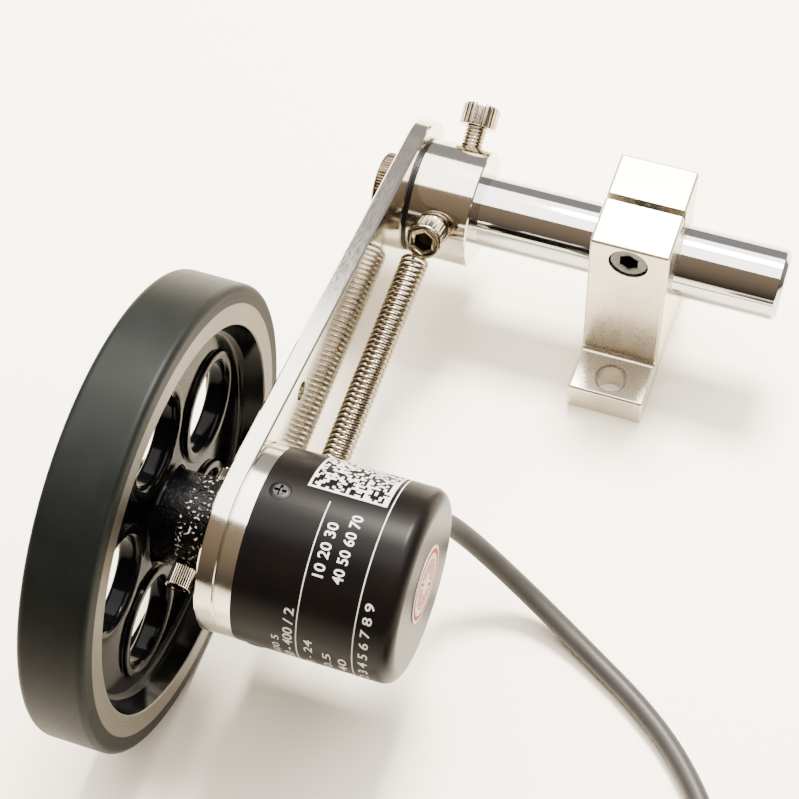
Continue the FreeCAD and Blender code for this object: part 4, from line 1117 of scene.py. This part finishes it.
    def build_tyre(self) -> None:
        """Turns the tread with rounded shoulders, a little crowned at its edges."""
        tread = self.tread_radius
        profile = eased([
            (self.far_x, self.rim_radius, 0.0), (self.far_x, tread, self.tyre_shoulder),
            (self.near_x, tread, self.tyre_shoulder), (self.near_x, self.rim_radius, 0.0),
        ], steps=8)
        draft = Draft("rubber_tyre")
        lathe(draft, profile, self.seat, TYRE_RUBBER, self.segments, ring=True)
        tyre = draft.build(sharp_deg=40.0)
        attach(tyre, "wheel")
        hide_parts("wheel_tyre")
        LOG.info("rubber_tyre")

    def build_hub_screws(self) -> None:
        """Makes the two fluted screws that clamp the hub on the encoder's shaft."""
        for number, bearing in enumerate(self.screw_angles):
            turn = math.radians(bearing)
            out = (0.0, -math.cos(turn), math.sin(turn))
            under = self.hub_radius + self.screw_proud
            origin = (self.screw_x, HUB_CENTRE[1] + out[1] * under, HUB_CENTRE[2] + out[2] * under)
            screw = SocketScrew(f"hub_screw_{number + 1}", seat_at(origin, out), M3_FLUTED, under - self.screw_tip,
                                NICKEL, flutes=36, flute_depth_share=0.06).build()
            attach(screw, "wheel")
            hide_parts("hub_screws")
            LOG.info("hub_screw %d", number + 1)

    def build(self) -> None:
        """Makes the whole wheel."""
        draft = Draft("wheel_spider")
        self.add_rim(draft)
        self.add_hub(draft)
        self.add_web(draft)
        casting = draft.build(sharp_deg=40.0)
        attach(casting, "wheel")
        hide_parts("wheel_casting")
        LOG.info("wheel_spider")
        self.build_tyre()
        self.build_hub_screws()


@dataclass
class Encoder:
    """Rotary encoder: flange, printed cover, its screws, rear label and grommet."""

    print_height: float = 0.045
    screw_x: float = -44.2
    screw_dia: float = 4.1
    screw_count: int = 3
    screw_start_deg: float = -24.0
    screw_proud: float = 0.15
    screw_slot: float = 0.55
    shank_radius: float = 1.0
    shank_end: float = -3.0
    cone_end: float = -1.1
    slot_share: float = 0.62
    slot_levels: tuple[float, float] = (-0.5, -0.6)
    slot_shares: tuple[float, float, float] = (1.0, 0.75, 0.0)
    rule_half: float = 0.11
    rules: tuple[tuple[float, float, float], ...] = ((-34.5, 98.0, -30.0), (-23.3, 145.0, -30.0))
    panel_x: tuple[float, float] = (-39.4, -24.6)
    panel_deg: tuple[float, float] = (106.0, 151.0)
    panel_cells: int = 26
    panel_border: float = 0.45
    blank_share: float = 0.52
    label_thickness: float = 0.15
    label_rings: tuple[tuple[float, float], ...] = ((1.5, 0.6), (3.1, 2.8))
    label_ticks: int = 24
    long_tick: tuple[float, float] = (2.2, 0.32)
    short_tick: tuple[float, float] = (3.4, 0.2)
    tick_edge: float = 3.3
    ink: float = 0.02

    def __post_init__(self) -> None:
        """Reads the cover's size from the frame."""
        self.radius = float(node_high("encoder_cover")[2] - node_low("encoder_cover")[2]) / 2
        self.rear_x = float(node_high("encoder_cover")[0])
        self.seat = seat_on_x(HUB_CENTRE[1], HUB_CENTRE[2])

    def on_cover(self, x: np.ndarray, angle: np.ndarray, lift: float) -> np.ndarray:
        """Points that far above the cover at x and an angle in radians."""
        return self.seat.place(x, np.full(np.shape(x), self.radius + lift), angle)

    def patch(self, draft: Draft, x_span: tuple[float, float], angle_span: tuple[float, float],
              finish: Finish) -> None:
        """Adds a thin printed patch that follows the cover.

        Args:
            draft: the piece it is added to.
            x_span: its ends along the axis.
            angle_span: its ends round the axis, in degrees.
            finish: its ink.
        """
        columns = max(int(abs(angle_span[1] - angle_span[0]) / 2.0), 1) + 1
        angle = np.radians(np.linspace(angle_span[0], angle_span[1], columns))
        x = np.array([x_span[0], x_span[1]])
        grid_x, grid_angle = np.meshgrid(x, angle, indexing="ij")
        top = self.on_cover(grid_x, grid_angle, self.print_height)
        base = self.on_cover(grid_x, grid_angle, 0.0)
        ring = np.concatenate([top, base[::-1]])
        draft.grid(ring, finish, wrap_rows=True, wrap_columns=False)

    def number(self, name: str, digits: str, height: float, x: float, span: tuple[float, float],
               stroke: float) -> bpy.types.Mesh:
        """Plain digits wrapped on the cover, read along the way round.

        A flat letter's width runs round the cover with the angle and its height against X.

        Args:
            name: name of the mesh.
            digits: the digits.
            height: height of a digit.
            x: the row's middle along the axis.
            span: angles in degrees at which the row begins and ends.
            stroke: how much the strokes are fattened, as a share of the letter's size.

        Returns:
            The mesh.
        """
        curve = bpy.data.curves.new(name, "FONT")
        curve.body = digits
        curve.size = 1.0
        curve.offset = stroke
        curve.resolution_u = 3
        mesh = mesh_of(name, curve)
        work = bmesh.new()
        work.from_mesh(mesh)
        bmesh.ops.subdivide_edges(work, edges=[edge for edge in work.edges if edge.calc_length() > 0.3], cuts=2)
        work.to_mesh(mesh)
        work.free()
        flat = np.empty(len(mesh.vertices) * 3)
        mesh.vertices.foreach_get("co", flat)
        flat = flat.reshape(-1, 3)
        low = flat.min(axis=0)
        share = (flat - low) / np.maximum(flat.max(axis=0) - low, 1e-9)
        angle = np.radians(span[0] + (span[1] - span[0]) * share[:, 0])
        wrapped = self.on_cover(x + height * (0.5 - share[:, 1]), angle, self.print_height)
        mesh.vertices.foreach_set("co", (wrapped * MM).ravel())
        mesh.update()
        return mesh

    def build_print(self) -> None:
        """Makes the white print: rules, plain numbers and a panel of random cells."""
        draft = Draft("cover_print")
        for x, start, end in self.rules:
            self.patch(draft, (x - self.rule_half, x + self.rule_half), (start, end), PRINT_WHITE)
        cells = self.panel_cells
        grid = np.random.default_rng(11).random((cells, cells)) > self.blank_share
        x_edges = np.linspace(*self.panel_x, cells + 1)
        a_edges = np.linspace(*self.panel_deg, cells + 1)
        for row in range(cells):
            start = 0
            for column in range(1, cells + 1):
                if column < cells and grid[row, column] == grid[row, start]:
                    continue
                if grid[row, start]:
                    self.patch(draft, (x_edges[start], x_edges[column]), (a_edges[row], a_edges[row + 1]),
                               PRINT_WHITE)
                start = column
        border = self.panel_border
        wide = math.degrees(border / self.radius)
        x_low, x_high, a_low, a_high = x_edges[0], x_edges[-1], a_edges[0], a_edges[-1]
        for x_span, a_span in (((x_low - border, x_low), (a_low - wide, a_high + wide)),
                               ((x_high, x_high + border), (a_low - wide, a_high + wide)),
                               ((x_low, x_high), (a_low - wide, a_low)),
                               ((x_low, x_high), (a_high, a_high + wide))):
            self.patch(draft, x_span, a_span, PRINT_WHITE)
        panel = draft.build(sharp_deg=60.0)
        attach(panel, "arm")
        LOG.info("cover_print")
        rows = (
            ("10 20 30", 2.2, -32.2, (55.0, 86.0), 0.015), ("40 50 60 70", 2.2, -28.35, (54.0, 94.0), 0.015),
            ("60 - 400 / 2", 2.0, -36.2, (-16.0, 33.0), 0.015), ("600 5", 1.5, -38.7, (-14.0, 9.5), 0.0),
            ("5 - 24", 1.7, -32.1, (-16.0, 13.5), 0.005), ("0.5", 1.7, -28.4, (-14.0, 6.0), 0.005),
            ("40", 1.7, -25.3, (-12.0, 5.0), 0.005),
            ("0 1 2 3 4 5 6 7 8 9", 1.9, -21.2, (-30.0, 49.0), 0.01),
        )
        for number, (digits, height, x, span, stroke) in enumerate(rows):
            mesh = self.number(f"print_row_{number + 1}", digits, height, x, span, stroke)
            mesh.materials.clear()
            mesh.materials.append(PRINT_WHITE.build())
            made = placed(f"print_row_{number + 1}", mesh)
            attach(made, "arm")
        LOG.info("print rows")

    def build_screws(self) -> None:
        """Makes the countersunk cross-slotted screws round the cover."""
        draft = Draft("cover_cross_screws")
        angle = round_angles(96)
        head = self.screw_dia / 2
        for step in range(self.screw_count):
            turn = math.radians(self.screw_start_deg + 360 * step / self.screw_count)
            out = (0.0, -math.cos(turn), math.sin(turn))
            origin = (self.screw_x, HUB_CENTRE[1] + out[1] * self.radius, HUB_CENTRE[2] + out[2] * self.radius)
            seat = seat_at(origin, out)
            dome = eased([
                (self.shank_end, 0.0, 0.0), (self.shank_end, self.shank_radius, 0.0),
                (self.cone_end, self.shank_radius, 0.0), (-0.05, head, 0.1),
                (self.screw_proud, head * 0.7, 0.6), (self.screw_proud, head * 0.66, 0.0),
            ])
            along, radii = spread(dome, len(angle))
            slot = cross(head * self.slot_share, self.screw_slot, angle)
            along, radii = with_recess(along, radii, slot, (self.screw_proud, *self.slot_levels), self.slot_shares)
            draft.grid(turned(seat, along, radii), BLACK_ZINC)
        screws = draft.build()
        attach(screws, "arm")
        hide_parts("cover_screws")
        LOG.info("cover_cross_screws")

    def build_label(self) -> None:
        """Makes the round rear label: paper, a red ring, a fine inner ring and plain red ticks."""
        centre = node_centre("rear_label")
        seat = seat_on_x(float(centre[1]), float(centre[2]))
        radius = float(node_high("rear_label")[2] - node_low("rear_label")[2]) / 2
        top = float(node_high("rear_label")[0])
        draft = Draft("round_label")
        under = top - self.label_thickness
        paper = eased([(under, 0.0, 0.0), (under, radius, 0.0), (top, radius, 0.05), (top, 0.0, 0.0)])
        lathe(draft, paper, seat, LABEL_PAPER, 120)
        for inner, outer in radius - np.array(self.label_rings):
            band = np.array([(top, inner), (top + self.ink, inner), (top + self.ink, outer), (top, outer)])
            lathe(draft, band, seat, LABEL_RED, 120, ring=True)
        for tick in range(self.label_ticks):
            bearing = 2 * math.pi * tick / self.label_ticks
            start, half = self.long_tick if tick % 2 == 0 else self.short_tick
            reach = np.array([start, radius - self.tick_edge])
            corner_r, corner_s = np.meshgrid(reach, np.array([-half, half]), indexing="ij")
            flat_r = np.hypot(corner_r, corner_s)
            flat_a = np.arctan2(corner_s, corner_r) + bearing
            face = seat.place(np.full(flat_r.shape, top + self.ink), flat_r, flat_a)
            back = seat.place(np.full(flat_r.shape, top), flat_r, flat_a)
            draft.grid(np.concatenate([face, back[::-1]]), LABEL_RED, wrap_rows=True, wrap_columns=False)
        label = draft.build()
        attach(label, "arm")
        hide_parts("rear_label")
        LOG.info("round_label")

    def build(self) -> None:
        """Makes the encoder's outside, and dresses what it holds."""
        dressed_copy("encoder_cover", "printed_cover", COVER_BLACK, "arm")
        dressed_copy("encoder_flange", "encoder_front_flange", FLANGE_ALUMINIUM, "arm")
        dressed_copy("cable_grommet", "rubber_grommet", GROMMET_RUBBER, "arm")
        self.build_screws()
        self.build_print()
        self.build_label()
        inner = (
            ("encoder_mount_screws", BLACK_OXIDE), ("bearing_outer_rings", BEARING_STEEL),
            ("bearing_inner_rings", BEARING_STEEL), ("bearing_balls", BEARING_STEEL),
            ("encoder_shaft", BEARING_STEEL), ("retaining_ring", BLACK_OXIDE), ("disc_hub", FLANGE_ALUMINIUM),
            ("code_disc", CODE_FILM), ("circuit_board", BOARD_GREEN), ("board_screws", NICKEL),
            ("optical_sensor", SENSOR_BLACK), ("pivot_bush", BRONZE),
        )
        for node, finish in inner:
            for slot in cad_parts[node].material_slots:
                slot.material = finish.build()
        LOG.info("inner pieces")


@dataclass
class Cable:
    """Grey signal cable: free stretch, put-away coil, tie and bare end."""

    dia: float = 4.5
    length_m: float = 1.5
    exit: tuple[float, float, float] = (-22.8, -83.586, 34.521)
    route: tuple[tuple[float, float, float], ...] = (
        (-0.0228, -0.0786, 0.0309),
        (-0.0206, -0.0756, 0.0266),
        (-0.0164, -0.0747, 0.0211),
        (-0.0105, -0.0750, 0.0148),
        (-0.0029, -0.0764, 0.0081),
        (0.0055, -0.0797, 0.0043),
        (0.0156, -0.0850, 0.0024),
        (0.0267, -0.0916, 0.0023),
        (0.0367, -0.0994, 0.0023),
        (0.0454, -0.1094, 0.0023),
        (0.0588, -0.1294, 0.0030),
        (0.0679, -0.1478, 0.0030),
    )
    coil_mid: float = 49.8
    coil_layers: int = 4
    coil_layer_turns: float = 2.5
    coil_pitch: float = 5.05
    coil_turns: float = 8.56
    points_per_turn: int = 16

    def coil_points(self) -> np.ndarray:
        """Points of the coil's winding, in millimetres.

        The radius falls and rises at a steady rate from layer to layer, the bearing falls by one
        turn each turn, and the height climbs a layer in the half turn where the spiral reverses.

        Returns:
            Rows of three.
        """
        route = np.array(self.route) / MM
        end = route[-1]
        way = end - route[-2]
        way = way / np.linalg.norm(way)
        inwards = np.array([way[1], -way[0], 0.0])
        outer = self.coil_mid / 2 + self.coil_pitch * self.coil_layer_turns / 2
        centre = end + way * self.dia + inwards * outer
        bearing = math.atan2(-inwards[1], -inwards[0])
        turns = np.append(np.arange(0.0, self.coil_turns, 1 / self.points_per_turn), self.coil_turns)
        layer = np.floor(turns / self.coil_layer_turns)
        part = turns - layer * self.coil_layer_turns
        inset = np.where(layer % 2 == 0, part, self.coil_layer_turns - part)
        radius = outer - self.coil_pitch * inset
        radius = radius / math.cos(math.pi / self.points_per_turn) ** 0.5
        climb = np.clip((part - self.coil_layer_turns + 0.25) / 0.5, 0, 1) * (layer + 1 < self.coil_layers)
        fall = np.clip((0.25 - part) / 0.5, 0, 1) * (layer > 0)
        level = layer + climb - fall
        angle = bearing - 2 * np.pi * turns
        wound = centre + np.stack([radius * np.cos(angle), radius * np.sin(angle), self.coil_pitch * level], axis=1)
        tail = wound[-1] - wound[-2]
        return np.vstack([wound, wound[-1:] + tail / np.linalg.norm(tail) * self.dia])

    def build_cord(self) -> bpy.types.Object:
        """Makes the cable as one NURBS spline from the grommet to the sleeve."""
        points = np.vstack([np.array([self.exit]), np.array(self.route) / MM, self.coil_points()[1:]])
        curve = bpy.data.curves.new("grey_cable", "CURVE")
        curve.dimensions = "3D"
        curve.resolution_u = 8
        curve.bevel_depth = self.dia / 2 * MM
        curve.bevel_resolution = 6
        curve.use_fill_caps = True
        spline = curve.splines.new("NURBS")
        spline.points.add(len(points) - 1)
        spline.points.foreach_set("co", np.hstack([points * MM, np.ones((len(points), 1))]).ravel())
        spline.order_u = 3
        spline.use_endpoint_u = True
        curve.materials.append(JACKET_GREY.build())
        cord = placed("grey_cable", curve)
        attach(cord, "arm")
        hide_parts("encoder_cable", "cable_coil")
        LOG.info("grey_cable")
        return cord

    def colour_cores(self, mesh: bpy.types.Mesh) -> None:
        """Gives each separate core of the mesh its own colour."""
        for finish in CORES[1:]:
            mesh.materials.append(finish.build())
        work = bmesh.new()
        work.from_mesh(mesh)
        waiting = set(work.faces)
        core = 0
        while waiting:
            reached = [waiting.pop()]
            while reached:
                face = reached.pop()
                face.material_index = core % len(CORES)
                for edge in face.edges:
                    for other in edge.link_faces:
                        if other in waiting:
                            waiting.remove(other)
                            reached.append(other)
            core += 1
        work.to_mesh(mesh)
        work.free()

    def build(self) -> None:
        """Makes the cable and dresses what is on it."""
        cord = self.build_cord()
        sleeve = dressed_copy("cable_end_sleeve", "shrunk_sleeve", SLEEVE_BLACK, "arm")
        tie = dressed_copy("cable_tie", "coil_tie", TIE_BLACK, "arm")
        cores = dressed_copy("core_ends", "bare_cores", CORES[0], "arm")
        self.colour_cores(cores.data)
        tips = dressed_copy("tinned_tips", "tinned_core_tips", TINNED, "arm")
        [value * MM for value in self.exit]


@dataclass
class Studio:
    """Pale floor, overhead softbox, key lamp, dim surroundings and the camera."""

    camera_place: tuple[float, float, float] = (48.76, -264.27, 393.33)
    camera_right: tuple[float, float, float] = (0.94406, 0.32787, -0.03546)
    camera_down: tuple[float, float, float] = (0.25979, -0.80562, -0.53243)
    camera_forward: tuple[float, float, float] = (-0.20313, 0.49343, -0.84573)
    focal_px: float = 2011.33
    frame_px: float = 799.0
    sensor_mm: float = 36.0
    floor_half: float = 3.0
    world_strength: float = 1.05

    def build_camera(self) -> None:
        """Places the camera as it was fitted to the photograph."""
        data = bpy.data.cameras.new("camera")
        data.sensor_width = self.sensor_mm
        data.lens = self.focal_px / self.frame_px * self.sensor_mm
        data.clip_start = 0.01
        data.clip_end = 20.0
        camera = placed("camera", data)
        columns = [self.camera_right, [-value for value in self.camera_down],
                   [-value for value in self.camera_forward]]
        turn = Matrix([[columns[column][row] for column in range(3)] for row in range(3)])
        camera.matrix_world = Matrix.Translation(Vector(self.camera_place) * MM) @ turn.to_4x4()
        bpy.context.scene.camera = camera

    def build_floor(self) -> None:
        """Lays a plain pale floor under the part."""
        half = self.floor_half
        mesh = bpy.data.meshes.new("floor")
        mesh.from_pydata([(-half, -half, 0), (half, -half, 0), (half, half, 0), (-half, half, 0)], [], [(0, 1, 2, 3)])
        paper = Finish("floor_paper", "#F8F0DE", 0.0, 0.6, grain_mm=1.5, grain_depth_mm=0.01)
        mesh.materials.append(paper.build())
        floor = placed("floor", mesh)

    def add_light(self, name: str, place: tuple[float, float, float], aim: tuple[float, float, float],
                  size: tuple[float, float], power: float, colour: str) -> None:
        """Adds a rectangular softbox that looks at a point, in metres and watts."""
        data = bpy.data.lights.new(name, "AREA")
        data.shape = "RECTANGLE"
        data.size, data.size_y = size
        data.energy = power
        data.color = linear(colour)[:3]
        light = placed(name, data)
        light.location = place
        light.rotation_euler = (Vector(aim) - Vector(place)).to_track_quat("-Z", "Y").to_euler()

    def build_world(self) -> None:
        """Surroundings: brown and dark low down in front, plain grey behind the part."""
        world = bpy.data.worlds.new("surroundings")
        bpy.context.scene.world = world
        world.use_nodes = True
        tree = world.node_tree
        tree.nodes.clear()
        place = add_node(tree, "ShaderNodeTexCoord").outputs["Generated"]
        parts = add_node(tree, "ShaderNodeSeparateXYZ", links={"Vector": place})
        front = add_node(tree, "ShaderNodeValToRGB", links={"Fac": parts.outputs["Z"]})
        front.color_ramp.elements[0].position = 0.0
        front.color_ramp.elements[0].color = linear("#453E37")
        front.color_ramp.elements[1].position = 0.9
        front.color_ramp.elements[1].color = linear("#B0997F")
        behind = add_node(tree, "ShaderNodeMapRange", {"From Min": -0.25, "From Max": 0.35},
                          {"Value": parts.outputs["Y"]})
        both = add_node(tree, "ShaderNodeMix", {7: linear("#BDBBB9")},
                        {0: behind.outputs["Result"], 6: front.outputs["Color"]}, data_type="RGBA")
        glow = add_node(tree, "ShaderNodeBackground", {"Strength": self.world_strength}, {"Color": both.outputs[2]})
        add_node(tree, "ShaderNodeOutputWorld", links={"Surface": glow.outputs[0]})

    def build(self) -> None:
        """Sets up the whole stage."""
        self.build_camera()
        self.build_floor()
        self.build_world()
        self.add_light("overhead_softbox", place=(-0.1, 0.36, 0.85), aim=(-0.1, 0.36, 0.0), size=(1.5, 1.26),
                       power=52.0, colour="#FFFBF4")
        self.add_light("key_lamp", place=(-0.03, 0.36, 0.84), aim=(-0.02, -0.06, 0.0), size=(0.24, 0.2),
                       power=44.0, colour="#FFF8EE")


def main() -> None:
    """Builds the stage and every sub-assembly in order."""
    logging.basicConfig(level=logging.INFO, format="%(name)s %(message)s")
    Studio().build()
    ClampAssembly().build()
    PivotAssembly().build()
    dressed_copy("swing_arm", "polished_arm", ARM_ALUMINIUM, "arm")
    SpringAssembly().build()
    Encoder().build()
    MeasuringWheel().build()
    Cable().build()


if __name__ == "__main__":
    main()
